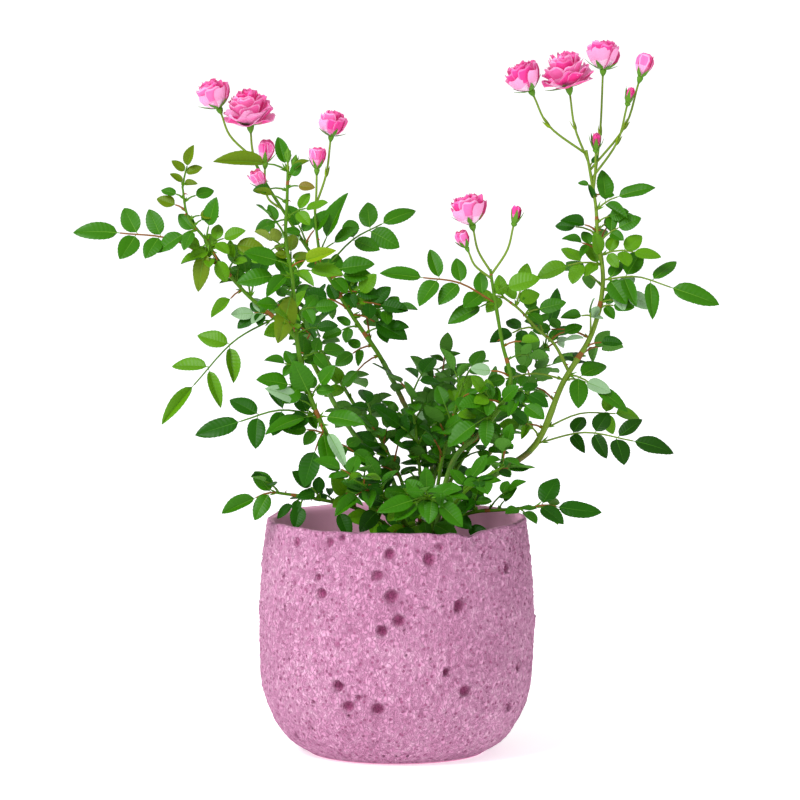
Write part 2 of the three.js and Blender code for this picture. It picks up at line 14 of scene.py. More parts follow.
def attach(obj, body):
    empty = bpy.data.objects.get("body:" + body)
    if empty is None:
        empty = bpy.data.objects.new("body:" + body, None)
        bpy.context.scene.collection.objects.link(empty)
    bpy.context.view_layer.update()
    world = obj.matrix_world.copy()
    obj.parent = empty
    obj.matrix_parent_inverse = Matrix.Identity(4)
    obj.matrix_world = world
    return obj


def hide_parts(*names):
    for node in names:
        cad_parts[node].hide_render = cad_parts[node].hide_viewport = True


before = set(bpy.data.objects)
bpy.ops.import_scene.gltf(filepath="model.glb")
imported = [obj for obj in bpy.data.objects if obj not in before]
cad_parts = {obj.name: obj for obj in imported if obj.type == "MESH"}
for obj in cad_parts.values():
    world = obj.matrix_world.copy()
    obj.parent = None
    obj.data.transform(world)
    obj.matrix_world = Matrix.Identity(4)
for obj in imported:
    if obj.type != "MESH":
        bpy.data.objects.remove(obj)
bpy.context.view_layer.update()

log = logging.getLogger("rose_bush")

MM = 0.001
# Heights in millimetres. Soil, crown and canes each stand clear of the one below.
GAP = 0.3
SOIL_TOP = 108.0
CROWN_HEIGHT = 12.7
CANE_CUT = SOIL_TOP + GAP + CROWN_HEIGHT + GAP
CANE_FOOT = CANE_CUT - 3
# The range that a wave's start is drawn from, in radians.
PHASE = (0, 6.3)
# A direction that no stem follows, from which a tube's rings start.
ASKEW = Vector((0.3, 1, 0.1))

Colour = tuple[float, float, float]
Point = tuple[float, float, float]
Profile = list[tuple[float, float]]
Rows = tuple[tuple[float, ...], ...]
Faces = list[tuple[int, ...]]
Shape = tuple[np.ndarray, Faces]
Socket = bpy.types.NodeSocket


# ---- Finishes ----


def linear(colour: Colour) -> tuple[float, float, float, float]:
    """Turns a display colour of 0 to 255 into Blender's linear one.

    Args:
        colour: red, green and blue, 0 to 255.

    Returns:
        Linear red, green, blue and a full alpha.
    """
    shares = [value / 255 for value in colour]
    made = [s / 12.92 if s <= 0.04045 else ((s + 0.055) / 1.055) ** 2.4 for s in shares]
    return (*made, 1.0)


def vein_group() -> bpy.types.NodeTree:
    """Makes the group that raises a vein at each whole number of the points' "vein" values.

    Returns:
        The group, with Depth in metres going in and Normal coming out.
    """
    made = bpy.data.node_groups.get("raised_veins")
    if made is None:
        made = bpy.data.node_groups.new("raised_veins", "ShaderNodeTree")
        made.interface.new_socket("Depth", in_out="INPUT", socket_type="NodeSocketFloat")
        made.interface.new_socket("Normal", in_out="OUTPUT", socket_type="NodeSocketVector")
        depth = made.nodes.new("NodeGroupInput").outputs["Depth"]
        veins = made.nodes.new("ShaderNodeAttribute")
        veins.attribute_name = "vein"
        between = made.nodes.new("ShaderNodeMath")
        between.operation = "PINGPONG"
        between.inputs[1].default_value = 0.5
        bump = made.nodes.new("ShaderNodeBump")
        made.links.new(veins.outputs["Fac"], between.inputs[0])
        made.links.new(between.outputs[0], bump.inputs["Height"])
        made.links.new(depth, bump.inputs["Distance"])
        made.links.new(bump.outputs["Normal"], made.nodes.new("NodeGroupOutput").inputs["Normal"])
    return made


@dataclass(frozen=True)
class PlainFinish:
    """One colour and one sheen, a painted glow for light that comes through, and veins if wanted.
    """

    name: str
    colour: Colour
    roughness: float = 0.5
    gloss: float = 0.12
    veined: bool = False
    glow: float = 0.0
    vein_depth: float = 0.00014

    def material(self) -> bpy.types.Material:
        """Makes the material once and gives it each time.

        Returns:
            The material of this finish.
        """
        made = bpy.data.materials.get(self.name)
        if made is None:
            made = bpy.data.materials.new(self.name)
            made.use_nodes = True
            shader = made.node_tree.nodes["Principled BSDF"]
            shader.inputs["Base Color"].default_value = linear(self.colour)
            shader.inputs["Roughness"].default_value = self.roughness
            shader.inputs["Specular IOR Level"].default_value = self.gloss
            shader.inputs["Emission Color"].default_value = linear(self.colour)
            shader.inputs["Emission Strength"].default_value = self.glow
            if self.veined:
                veins = made.node_tree.nodes.new("ShaderNodeGroup")
                veins.node_tree = vein_group()
                veins.inputs["Depth"].default_value = self.vein_depth
                made.node_tree.links.new(veins.outputs["Normal"], shader.inputs["Normal"])
        return made


class Leaf(Enum):
    """Colours of the leaves' upper and lower faces."""

    # The blades glow faintly: painted light standing in for light that shines through them.
    VIVID = PlainFinish("leaf_vivid", (46, 104, 0), 0.42, 0.15, True, 0.05)
    FRESH = PlainFinish("leaf_fresh", (78, 130, 4), 0.42, 0.17, True, 0.05)
    DARK = PlainFinish("leaf_dark", (27, 80, 0), 0.4, 0.12, True, 0.05)
    DEEP = PlainFinish("leaf_deep", (22, 64, 0), 0.42, 0.12, True, 0.05)
    YELLOW = PlainFinish("leaf_yellow", (118, 148, 12), 0.45, 0.16, True, 0.05)
    OLIVE = PlainFinish("leaf_olive", (86, 112, 4), 0.42, 0.15, True, 0.05)
    RUSSET = PlainFinish("leaf_russet", (110, 98, 22), 0.42, 0.2, True, 0.05)
    RIB = PlainFinish("leaf_rib", (88, 138, 34), 0.5)
    DARK_RIB = PlainFinish("leaf_dark_rib", (56, 110, 20), 0.5)
    # PALE is painted sheen, a glossy leaf's whitish glint, and as an underside partly the paler
    # underside.
    PALE = PlainFinish("leaf_pale", (132, 166, 124), 0.6, 0.15, True, 0.05)
    GREEN_UNDER = PlainFinish("leaf_green_under", (70, 120, 38), 0.65, 0.1, True, 0.05)
    OLIVE_UNDER = PlainFinish("leaf_olive_under", (108, 126, 42), 0.65, 0.1, True, 0.05)


class Wood(Enum):
    """Colours of the twigs, stalks, thorns and hips."""

    GREEN = PlainFinish("twig_green", (74, 116, 20), 0.5)
    BRIGHT = PlainFinish("twig_bright", (106, 134, 40), 0.5)
    RED = PlainFinish("twig_red", (126, 82, 36), 0.5)
    THORN = PlainFinish("twig_thorn", (134, 74, 36), 0.5)
    HIP = PlainFinish("hip_green", (84, 132, 34), 0.5)


class Petal(Enum):
    """Colours of the petals, from the heart outwards."""

    # The petals glow: painted light standing in for light shining through them, lifting their
    # shade.
    HEART = PlainFinish("petal_heart", (210, 22, 110), 0.6, glow=0.12)
    DEEP = PlainFinish("petal_deep", (218, 58, 138), 0.6, glow=0.13)
    MID = PlainFinish("petal_mid", (222, 102, 164), 0.6, glow=0.16)
    PALE = PlainFinish("petal_pale", (226, 148, 192), 0.6, glow=0.16)
    EDGE = PlainFinish("petal_edge", (230, 186, 214), 0.6, glow=0.1)
    GOLD = PlainFinish("petal_gold", (208, 106, 56), 0.6, glow=0.1)
    DUSK = PlainFinish("petal_dusk", (172, 62, 106), 0.6, glow=0.04)


class Wiring:
    """Adds and joins the nodes of one material."""

    gloss = 0.25

    def __init__(self, name: str) -> None:
        """Starts a material whose shader waits for its inputs.

        Args:
            name: the material's name.
        """
        self.material = bpy.data.materials.new(name)
        self.material.use_nodes = True
        self.tree = self.material.node_tree
        self.shader = self.tree.nodes["Principled BSDF"]
        self.place = self.tree.nodes.new("ShaderNodeTexCoord").outputs["Object"]

    def node(self, kind: str, links: dict[str | int, object], **settings: object) -> bpy.types.Node:
        """Adds a node, sets it and feeds its sockets.

        Args:
            kind: the node's type.
            links: each socket's name or number with its source or value.
            settings: properties of the node.

        Returns:
            The node.
        """
        made = self.tree.nodes.new(kind)
        for key, value in settings.items():
            setattr(made, key, value)
        for socket, value in links.items():
            if isinstance(value, bpy.types.NodeSocket):
                self.tree.links.new(value, made.inputs[socket])
            else:
                made.inputs[socket].default_value = value
        return made

    def ramp(self, source: Socket, stops: dict[float, Colour]) -> Socket:
        """Turns a value into a colour through a ramp.

        Args:
            source: the value.
            stops: each position with its display colour.

        Returns:
            The ramp's colour.
        """
        made = self.node("ShaderNodeValToRGB", {"Fac": source})
        while len(made.color_ramp.elements) < len(stops):
            made.color_ramp.elements.new(0.5)
        for element, (position, colour) in zip(made.color_ramp.elements, stops.items()):
            element.position = position
            element.color = linear(colour)
        return made.outputs["Color"]

    def noise(self, scale: float, detail: float, place: Socket | None = None) -> bpy.types.Node:
        """Adds a noise over the piece's own place, or over another one."""
        links = {"Vector": self.place if place is None else place, "Scale": scale, "Detail": detail}
        return self.node("ShaderNodeTexNoise", links)

    def level(self, source: Socket, low: float, high: float) -> Socket:
        """Stretches a value so that low becomes 0 and high becomes 1."""
        links = {"Value": source, "From Min": low, "From Max": high}
        return self.node("ShaderNodeMapRange", links).outputs[0]

    def joined(self, operation: str, first: Socket | float, second: Socket | float) -> Socket:
        """Joins two values by one operation."""
        return self.node("ShaderNodeMath", {0: first, 1: second}, operation=operation).outputs[0]

    def attribute(self, name: str) -> Socket:
        """Reads a value that the piece's own points carry."""
        return self.node("ShaderNodeAttribute", {}, attribute_name=name).outputs["Fac"]

    def mixed(self, share: Socket | float, low: Socket | tuple, high: Socket | tuple) -> Socket:
        """Blends two colours by a share."""
        links = {0: share, 6: low, 7: high}
        return self.node("ShaderNodeMix", links, data_type="RGBA").outputs[2]

    def finish(
        self, colour: Socket, roughness: float, height: Socket, depth: float
    ) -> bpy.types.Material:
        """Feeds the shader and gives the material.

        Args:
            colour: what feeds the base colour.
            roughness: the plain roughness.
            height: what feeds the bump.
            depth: the bump's depth in metres.

        Returns:
            The finished material.
        """
        self.tree.links.new(colour, self.shader.inputs["Base Color"])
        self.shader.inputs["Roughness"].default_value = roughness
        self.shader.inputs["Specular IOR Level"].default_value = self.gloss
        bump = self.node("ShaderNodeBump", {"Height": height, "Distance": depth, "Strength": 1.0})
        self.tree.links.new(bump.outputs["Normal"], self.shader.inputs["Normal"])
        return self.material


@dataclass(frozen=True)
class PittedCement:
    """Matt dusty pink cement with fine worm-like pores and pits, painted light and shade on its
    relief.
    """

    pink: Colour = (196, 136, 172)
    # Painted light on raised crests, mixed with the paler random patches.
    light: Colour = (218, 168, 197)
    # Painted shade in hollows and grooves, mixed with the darker random patches.
    shade: Colour = (172, 110, 146)
    # Painted shade inside the pores and pits.
    pit: Colour = (146, 66, 110)
    # Painted light: a paler pink that brightens the inner wall.
    lit_lining: Colour = (232, 170, 202)
    patch_scale: float = 26.0
    worm_scale: float = 640.0
    worm_slant: float = 0.7
    worm_stretch: float = 0.6
    worm_twist: float = 0.6
    groove_width: float = 0.1
    pore_scale: float = 280.0
    pore_edge: tuple[float, float] = (0.14, 0.3)
    roughness: float = 0.9
    depth: float = 0.0009

    def material(self) -> bpy.types.Material:
        """Builds the cement.

        Returns:
            The pot's material.
        """
        w = Wiring("pitted_cement")
        inside = w.attribute("inside")
        patches = w.joined("MULTIPLY", w.noise(self.patch_scale, 3.0).outputs["Fac"], 0.5)
        # Painted light and shade: raised relief is coloured lighter, hollows darker, over random
        # patches.
        tone = w.joined("ADD", patches, w.joined("MULTIPLY", w.attribute("relief"), 0.5))
        body = w.ramp(tone, {0.26: self.shade, 0.5: self.pink, 0.78: self.light})
        slant = {"Rotation": (0, self.worm_slant, 0), "Scale": (1, 1, self.worm_stretch)}
        slanted = w.node("ShaderNodeMapping", {"Vector": w.place, **slant}).outputs[0]
        worms = w.noise(self.worm_scale, 2.0, slanted)
        worms.inputs["Distortion"].default_value = self.worm_twist
        middle = w.joined("SUBTRACT", worms.outputs["Fac"], 0.5)
        groove = w.level(w.joined("ABSOLUTE", middle, 0.0), 0.0, self.groove_width)
        links = {"Vector": w.place, "Scale": self.pore_scale, "Randomness": 1.0}
        cells = w.node("ShaderNodeTexVoronoi", links).outputs["Distance"]
        pores = w.level(cells, *self.pore_edge)
        # Painted shade: the pores and grooves are darkened as well as bumped.
        pored = w.mixed(pores, w.mixed(0.8, body, linear(self.pit)), body)
        grooved = w.mixed(groove, w.mixed(0.5, pored, linear(self.shade)), pored)
        # Painted light: the inner wall takes a paler pink.
        wall = w.mixed(inside, grooved, linear(self.lit_lining))
        # Painted shade: pits are darkened by their depth.
        colour = w.mixed(w.level(w.attribute("pit"), 0.1, 1.0), wall, linear(self.pit))
        parts = [w.joined("MULTIPLY", part, 0.6) for part in (groove, pores)]
        outside = w.joined("SUBTRACT", 1.0, inside)
        height = w.joined("MULTIPLY", w.joined("ADD", *parts), outside)
        return w.finish(colour, self.roughness, height, self.depth)


@dataclass(frozen=True)
class CaneBark:
    """Smooth green bark, browner in patches, with fine lengthwise wrinkles."""

    green: Colour = (70, 112, 30)
    bright: Colour = (90, 132, 38)
    brown: Colour = (108, 84, 44)
    patch_scale: float = 60.0
    wrinkle_scale: float = 900.0
    roughness: float = 0.55
    depth: float = 0.0002

    def material(self) -> bpy.types.Material:
        """Builds the bark.

        Returns:
            The boughs' material.
        """
        w = Wiring("cane_bark")
        patches = w.noise(self.patch_scale, 3.0).outputs["Fac"]
        wrinkles = w.noise(self.wrinkle_scale, 2.0).outputs["Fac"]
        colour = w.ramp(patches, {0.34: self.bright, 0.52: self.green, 0.66: self.brown})
        return w.finish(colour, self.roughness, wrinkles, self.depth)


@dataclass(frozen=True)
class Earth:
    """Crumbly dark brown soil."""

    dark: Colour = (48, 34, 24)
    light: Colour = (88, 66, 46)
    crumb_scale: float = 320.0
    roughness: float = 0.95
    depth: float = 0.001

    def material(self) -> bpy.types.Material:
        """Builds the soil.

        Returns:
            The soil's material.
        """
        w = Wiring("earth")
        crumbs = w.noise(self.crumb_scale, 4.0).outputs["Fac"]
        colour = w.ramp(crumbs, {0.35: self.dark, 0.7: self.light})
        return w.finish(colour, self.roughness, crumbs, self.depth)


# ---- Numbers, curves and meshes ----


class Seeded:
    """The plant's own row of numbers, started from a name."""

    factor, shift, span = 1664525, 1013904223, 1 << 32

    def __init__(self, name: str) -> None:
        """Starts the row.

        Args:
            name: the mass that the numbers belong to.
        """
        self.state = 1
        for letter in name:
            self.state = (self.state * 31 + ord(letter)) % self.span

    def between(self, low: float, high: float) -> float:
        """Gives the next number from low up to high."""
        self.state = (self.state * self.factor + self.shift) % self.span
        return low + (high - low) * self.state / self.span

    def pick(self, weights: dict) -> object:
        """Deals one of the keys, each as often as its weight says.

        Args:
            weights: each key's weight.

        Returns:
            The key.
        """
        aim = self.between(0, sum(weights.values()))
        for key, weight in weights.items():
            aim -= weight
            if aim <= 0:
                break
        return key


class Line:
    """A smooth curve through points, in millimetres."""

    least = 1e-4

    def __init__(self, points: list[Point]) -> None:
        """Keeps the points, with one more beyond each end.

        Args:
            points: where the curve passes.
        """
        inner = [Vector(point) for point in points]
        self.last = len(inner) - 1
        self.points = [inner[0] * 2 - inner[1], *inner, inner[-1] * 2 - inner[-2]]

    def at(self, share: float) -> Vector:
        """Gives the point at a share of the way.

        Args:
            share: 0 at the first point to 1 at the last, by their count.

        Returns:
            The point.
        """
        place = min(max(share, 0.0), 1.0) * self.last
        step = min(int(place), self.last - 1)
        a, b, c, d = self.points[step : step + 4]
        t0, t1, t2 = [max((q - p).length ** 0.5, self.least) for p, q in ((a, b), (b, c), (c, d))]
        first = ((b - a) / t0 - (c - a) / (t0 + t1) + (c - b) / t1) * t1
        second = ((c - b) / t1 - (d - b) / (t1 + t2) + (d - c) / t2) * t1
        u = place - step
        cubic = b * 2 - c * 2 + first + second
        square = (c - b) * 3 - first * 2 - second
        return b + first * u + square * u**2 + cubic * u**3

    def heading(self, share: float) -> Vector:
        """Gives the direction at a share of the way."""
        after, before = min(share + self.least, 1.0), max(share - self.least, 0.0)
        return (self.at(after) - self.at(before)).normalized()


@dataclass
class Sheaf:
    """Faces of one kind gathered into one mesh, each with its own plain colour."""

    points: list[np.ndarray] = field(default_factory=list)
    faces: Faces = field(default_factory=list)
    paint: list[int] = field(default_factory=list)
    finishes: list[PlainFinish] = field(default_factory=list)
    veins: list[np.ndarray] = field(default_factory=list)
    count: int = 0

    def add(
        self,
        points: np.ndarray,
        faces: Faces,
        finishes: list[PlainFinish],
        veins: np.ndarray | None = None,
    ) -> None:
        """Adds points and faces.

        Args:
            points: rows of x, y, z in millimetres.
            faces: corner numbers within those points.
            finishes: one for each face, or one for all.
            veins: each point's place among a leaf's veins, if it has any.
        """
        dealt = finishes if len(finishes) == len(faces) else finishes * len(faces)
        for finish in dealt:
            if finish not in self.finishes:
                self.finishes.append(finish)
        numbers = {finish: self.finishes.index(finish) for finish in set(dealt)}
        self.points.append(points)
        self.veins.append(np.zeros(len(points)) if veins is None else veins)
        self.faces.extend(tuple(corner + self.count for corner in face) for face in faces)
        self.paint.extend(numbers[finish] for finish in dealt)
        self.count += len(points)

    def build(self, name: str) -> bpy.types.Object:
        """Makes the object.

        Args:
            name: the object's name.

        Returns:
            The object, smooth and with its materials.
        """
        mesh = bpy.data.meshes.new(name)
        mesh.from_pydata((np.vstack(self.points) * MM).tolist(), [], self.faces)
        for finish in self.finishes:
            mesh.materials.append(finish.material())
        mesh.polygons.foreach_set("material_index", self.paint)
        mesh.polygons.foreach_set("use_smooth", [True] * len(self.faces))
        if any(finish.veined for finish in self.finishes):
            veins = mesh.attributes.new("vein", "FLOAT", "POINT")
            veins.data.foreach_set("value", np.concatenate(self.veins).astype(np.float32))
        mesh.update()
        made = bpy.data.objects.new(name, mesh)
        bpy.context.scene.collection.objects.link(made)
        return made


def tube(centres: list[Vector], radii: Sequence[float], sides: int) -> Shape:
    """Makes a closed round tube through centres.

    Args:
        centres: the middle of each ring.
        radii: each ring's radius.
        sides: corners in a ring.

    Returns:
        The points and the faces, pointing out.
    """
    rows = []
    across = ASKEW
    for index, centre in enumerate(centres):
        after, before = centres[min(index + 1, len(centres) - 1)], centres[max(index - 1, 0)]
        along = (after - before).normalized()
        across = (across - along * across.dot(along)).normalized()
        over = along.cross(across)
        for side in range(sides):
            turn = 2 * math.pi * side / sides
            rows.append(centre + (across * math.cos(turn) + over * math.sin(turn)) * radii[index])
    faces: Faces = []
    for ring in range(len(centres) - 1):
        low, high = ring * sides, (ring + 1) * sides
        for side in range(sides):
            after = (side + 1) % sides
            faces.append((low + side, low + after, high + after, high + side))
    faces.append(tuple(reversed(range(sides))))
    faces.append(tuple(range(len(rows) - sides, len(rows))))
    return np.array(rows), faces


def lathe(profile: Profile, foot: Vector, axis: Vector, sides: int) -> Shape:
    """Turns a profile of radius and rise about an axis.

    Args:
        profile: rings from the foot up, none of them of no radius.
        foot: where the axis starts.
        axis: its direction.
        sides: corners in a ring.

    Returns:
        The points and the faces, pointing out.
    """
    centres = [foot + axis * rise for _, rise in profile]
    return tube(centres, [radius for radius, _ in profile], sides)


def deselect() -> None:
    """Leaves edit mode and selects nothing."""
    if bpy.context.object is not None and bpy.context.object.mode != "OBJECT":
        bpy.ops.object.mode_set(mode="OBJECT")
    bpy.ops.object.select_all(action="DESELECT")


def turned(name: str, profile: Profile, sides: int) -> bpy.types.Object:
    """Raises a round closed shape ring by ring from a disc.

    Args:
        name: the object's name.
        profile: radius and height of each ring in millimetres.
        sides: corners in a ring.

    Returns:
        The object, with its place in its mesh.
    """
    deselect()
    radius, height = profile[0]
    bpy.ops.mesh.primitive_circle_add(
        vertices=sides, radius=radius * MM, fill_type="NGON", location=(0, 0, height * MM)
    )
    made = bpy.context.object
    made.name = name
    made.data.name = name
    bpy.ops.object.transform_apply(location=True, rotation=True, scale=True)
    bpy.ops.object.mode_set(mode="EDIT")
    bpy.ops.mesh.select_all(action="SELECT")
    for wide, high in profile[1:]:
        rise = (0, 0, (high - height) * MM)
        bpy.ops.mesh.extrude_region_move(TRANSFORM_OT_translate={"value": rise})
        share = wide / radius
        bpy.ops.transform.resize(value=(share, share, 1), center_override=(0, 0, high * MM))
        radius, height = wide, high
    bpy.ops.mesh.select_all(action="SELECT")
    bpy.ops.mesh.remove_doubles(threshold=1e-6)
    bpy.ops.mesh.normals_make_consistent(inside=False)
    bpy.ops.mesh.faces_shade_smooth()
    bpy.ops.object.mode_set(mode="OBJECT")
    made.select_set(False)
    return made


def places(piece: bpy.types.Object) -> np.ndarray:
    """Reads the mesh's points.

    Args:
        piece: the object, unturned at the origin.

    Returns:
        One row of x, y, z in millimetres for each point.
    """
    flat = np.zeros(len(piece.data.vertices) * 3)
    piece.data.vertices.foreach_get("co", flat)
    return flat.reshape(-1, 3) / MM


def put(piece: bpy.types.Object, points: np.ndarray) -> None:
    """Moves the mesh's points to rows in millimetres."""
    piece.data.vertices.foreach_set("co", (points * MM).ravel())
    piece.data.update()


def shares(steps: int) -> list[float]:
    """Gives 0 to 1 in even steps."""
    return [index / steps for index in range(steps + 1)]


def around(axis: Vector, spin: float) -> Vector:
    """Gives a direction square to an axis, turned about it by radians."""
    return Quaternion(axis, spin) @ axis.orthogonal().normalized()


def grain(points: np.ndarray, scale: float = 1.0) -> np.ndarray:
    """Gives a smooth noise of about -1 to 1 at each point."""
    return np.array([noise.noise(Vector(point) * scale) for point in points])


def lumps(points: np.ndarray, scale: float, *shape: float) -> np.ndarray:
    """Gives a noise with finer ones on it; shape is dimension, lacunarity and octaves."""
    return np.array([noise.fractal(Vector(point) * scale, *shape) for point in points])


def hump(values: np.ndarray | float, middle: float, width: float) -> np.ndarray | float:
    """Gives 1 at the middle, falling softly to 0 a few widths off."""
    return np.exp(-(((values - middle) / width) ** 2))


def report(piece: bpy.types.Object, slot: str, *nodes: str) -> None:
    """Hangs a piece on the part's body in place of its solids and logs it.

    Args:
        piece: the finished object.
        slot: the record's material slot; it is not used.
        nodes: the solids that it stands for.
    """
    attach(piece, "root")
    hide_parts(*nodes)
    log.info("%s: %d faces for %s", piece.name, len(piece.data.polygons), ", ".join(nodes))


# ---- Pot, soil and root crown ----


@dataclass
class Pot:
    """The round pot: foot, belly, thin wavy rim, relief and pits."""

    height: float = 130.0
    foot_radius: float = 48.0
    belly_radius: float = 75.6
    belly_height: float = 61.0
    rim_radius: float = 71.4
    rim_wall: float = 3.6
    rim_round: float = 0.9
    wall_taper: float = 0.02
    soil_line: float = 104.0
    sides: int = 560
    rows: int = 148
    scattered: int = 90
    # Angle from the front towards +X in degrees, height, width and depth in millimetres.
    pits: tuple[tuple[float, float, float, float], ...] = (
        (-49, 122.3, 6.1, 1.0), (-30, 124.3, 5.5, 1.2), (-24, 127.0, 3.3, 1.2),
        (-3, 118.8, 6.6, 1.6), (14, 115.8, 7.7, 1.6), (19, 122.2, 6.1, 0.6), (-8, 107.2, 6.6, 1.4),
        (-35, 104.8, 4.4, 1.2), (-30, 109.0, 2.8, 0.8), (-33, 96.1, 6.6, 1.6),
        (-54, 85.9, 3.3, 1.5), (-2, 96.3, 8.2, 1.8), (1, 83.1, 7.2, 1.7), (-6, 77.5, 6.6, 2.0),
        (27, 89.9, 7.2, 2.0), (54, 107.4, 5.5, 1.6), (69, 111.7, 3.9, 1.2), (-25, 69.1, 4.4, 0.5),
        (-25, 46.3, 6.6, 2.0), (-21, 35.3, 7.2, 1.6), (-16, 40.6, 3.9, 1.2), (-8, 34.7, 7.2, 2.0),
        (21, 54.3, 4.4, 1.8), (30, 43.2, 7.2, 1.7), (62, 51.8, 5.5, 1.6), (58, 30.6, 5.0, 1.8),
        (-38, 36.4, 2.8, 1.0), (-46, 41.3, 1.9, 1.2), (-42, 20.7, 2.2, 1.2), (-58, 13.5, 3.9, 0.9),
        (-21, 30.3, 2.2, 1.2), (-56, 102.8, 2.8, 0.9), (-48, 99.8, 3.3, 0.5), (-7, 6.5, 1.6, 1.0),
        (0, 6.6, 1.6, 1.0), (6, 6.6, 1.6, 1.0),
    )

    # A pit's raised lip in its own radii, and how much deeper than listed the pits are sunk.
    lip_place, lip_width, lip_height = 1.18, 0.18, 0.24
    pit_depth, deepest = 1.5, 2.9
    # The relief: broad swells, the cast skin with a finer one in it, and the ridge.
    swell_scale, swell_depth = 0.06, 0.35
    cast_scale, cast_depth, finer_scale, finer_share = 0.33, 0.55, 0.61, 0.7
    ridge_depth = 0.6
    # The rim waves down and in above a height; it has a dip and a ripple, placed by degrees from
    # the front and width.
    wave_from, wave_rise, wave_scale, wave_down, wave_in = 112, 18, 2.3, 1.6, 0.8
    dip_place, dip_depth = (33, 11), 2.4
    ripple_place, ripple_depth, ripples = (30, 16), 0.9, 24

    def outside(self) -> Profile:
        """Gives the outer wall's radius and height, foot to rim."""
        line = Line(
            [
                (self.foot_radius, 0, 0),
                (self.foot_radius + 13, 0, 9),
                (self.belly_radius - 3, 0, 31),
                (self.belly_radius, 0, self.belly_height),
                (self.belly_radius - 1.6, 0, 105),
                (self.rim_radius, 0, self.height),
            ]
        )
        steps = 600
        spots = [line.at(share) for share in shares(steps)]
        lengths = np.cumsum([0.0, *[(b - a).length for a, b in zip(spots, spots[1:])]])
        wanted = np.linspace(0, lengths[-1], self.rows)
        picked = np.searchsorted(lengths, wanted - 1e-9).clip(0, steps)
        return [(spots[index].x, spots[index].z) for index in picked]

    def build(self) -> bpy.types.Object:
        """Raises the wall, rounds the rim, goes down to the soil and carves the relief.

        Returns:
            The pot.
        """
        wall = self.outside()
        top = self.height
        wall[-1] = (wall[-1][0], top - 0.6)
        inner = self.rim_radius - self.rim_wall
        crest = [(self.rim_radius - 0.5, top), (inner + self.rim_round, top)]
        rim = [*crest, (inner, top - self.rim_round)]
        falls = np.linspace(top - 3, self.soil_line - 6, 14)
        inside = [(inner - 0.4 - self.wall_taper * (top - z), z) for z in falls]
        belly = (self.belly_radius - 9, self.belly_height)
        cup = [belly, (self.foot_radius - 2, 16), (self.foot_radius - 10, 9), (8, 9)]
        piece = turned("pot_body", [(20, 0), *wall, *rim, *inside, *cup], self.sides)
        self.carve(piece)
        piece.data.materials.append(PittedCement().material())
        report(piece, "pot", "pot")
        return piece

    def carve(self, piece: bpy.types.Object) -> None:
        """Sinks the pits, raises the relief, waves the rim and marks them for the finish.

        Args:
            piece: the turned pot.
        """
        points = places(piece)
        angle = np.arctan2(points[:, 0], -points[:, 1])
        radius = np.hypot(points[:, 0], points[:, 1])
        height = points[:, 2].copy()
        wall = np.array(self.outside())
        outer = radius > np.interp(height, wall[:, 1], wall[:, 0]) - 1.2
        outer &= height > 1
        depth, pit = self.sunk(angle, radius, height)
        cast = grain(points, self.cast_scale) + self.finer_share * grain(points, self.finer_scale)
        swell = lumps(points, self.swell_scale, 0.6, 2.1, 3)
        push = swell * self.swell_depth + cast * self.cast_depth + self.ridge(points)
        push -= np.clip(depth * self.pit_depth, -1, self.deepest)
        push = np.where(outer, np.where(height < 3, 0.2 * push, push), 0)
        near_rim = np.clip((height - self.wave_from) / self.wave_rise, 0, 1) ** 2
        ring = np.stack([np.cos(angle), np.sin(angle), 0 * angle], 1)
        wave = np.abs(grain(ring, self.wave_scale))
        degrees = np.degrees(angle)
        dip = hump(degrees, *self.dip_place) * self.dip_depth
        ripple = hump(degrees, *self.ripple_place) * np.sin(angle * self.ripples)
        ripple = np.clip(ripple * self.ripple_depth, -0.6, 1)
        points[:, 2] -= near_rim * (wave * self.wave_down + dip + ripple)
        scale = 1 + (push - near_rim * wave * self.wave_in) / np.maximum(radius, 1)
        points[:, :2] *= scale[:, None]
        put(piece, points)
        # Marks for painted shade in the pits, painted light and shade by the relief, and the inner
        # wall.
        marks = {
            "pit": np.where(outer, pit, 0),
            "relief": 0.5 + np.clip(cast, -1, 1) * np.where(outer, 0.5, 0.1),
            "inside": np.where(outer, 0, 1),
        }
        for name, values in marks.items():
            mark = piece.data.attributes.new(name, "FLOAT", "POINT")
            mark.data.foreach_set("value", values.astype(np.float32))

    def ridge(self, points: np.ndarray) -> np.ndarray:
        """Gives the slanting cast ridge under the front rim.

        Args:
            points: the pot's points.

        Returns:
            How far the ridge stands out at each point.
        """
        slope = points[:, 2] - 122 + (points[:, 0] - 8) * 0.72
        shown = (points[:, 1] < 0) * (points[:, 0] > 6)
        return hump(slope, 0, 5) * shown * self.ridge_depth

    def sunk(
        self, angle: np.ndarray, radius: np.ndarray, height: np.ndarray
    ) -> tuple[np.ndarray, np.ndarray]:
        """Works out the pits at every point of the wall.

        Args:
            angle: each point's turn from the front, in radians.
            radius: its distance from the pot's axis.
            height: its height.

        Returns:
            How deep the pits go there, and how dark painted shade makes them, from 0 to 1.
        """
        depth, pit = np.zeros(len(angle)), np.zeros(len(angle))
        for turn, rise, width, deep in [*self.pits, *self.scatter()]:
            off = (angle - math.radians(turn) + math.pi) % (2 * math.pi) - math.pi
            share = np.hypot(off * radius, height - rise) / (width / 2)
            share = share * (1 + 0.06 * np.sin(2 * np.arctan2(height - rise, off * radius) + turn))
            bowl = np.clip(1 - share**3, 0, None) ** 0.7
            lip = hump(share, self.lip_place, self.lip_width) * self.lip_height
            depth += np.where(share < 2, bowl - lip, 0) * deep
            pit = np.maximum(pit, np.where(share < 1, bowl * min(0.35 + deep / 2.4, 1.0), 0))
        return depth, pit

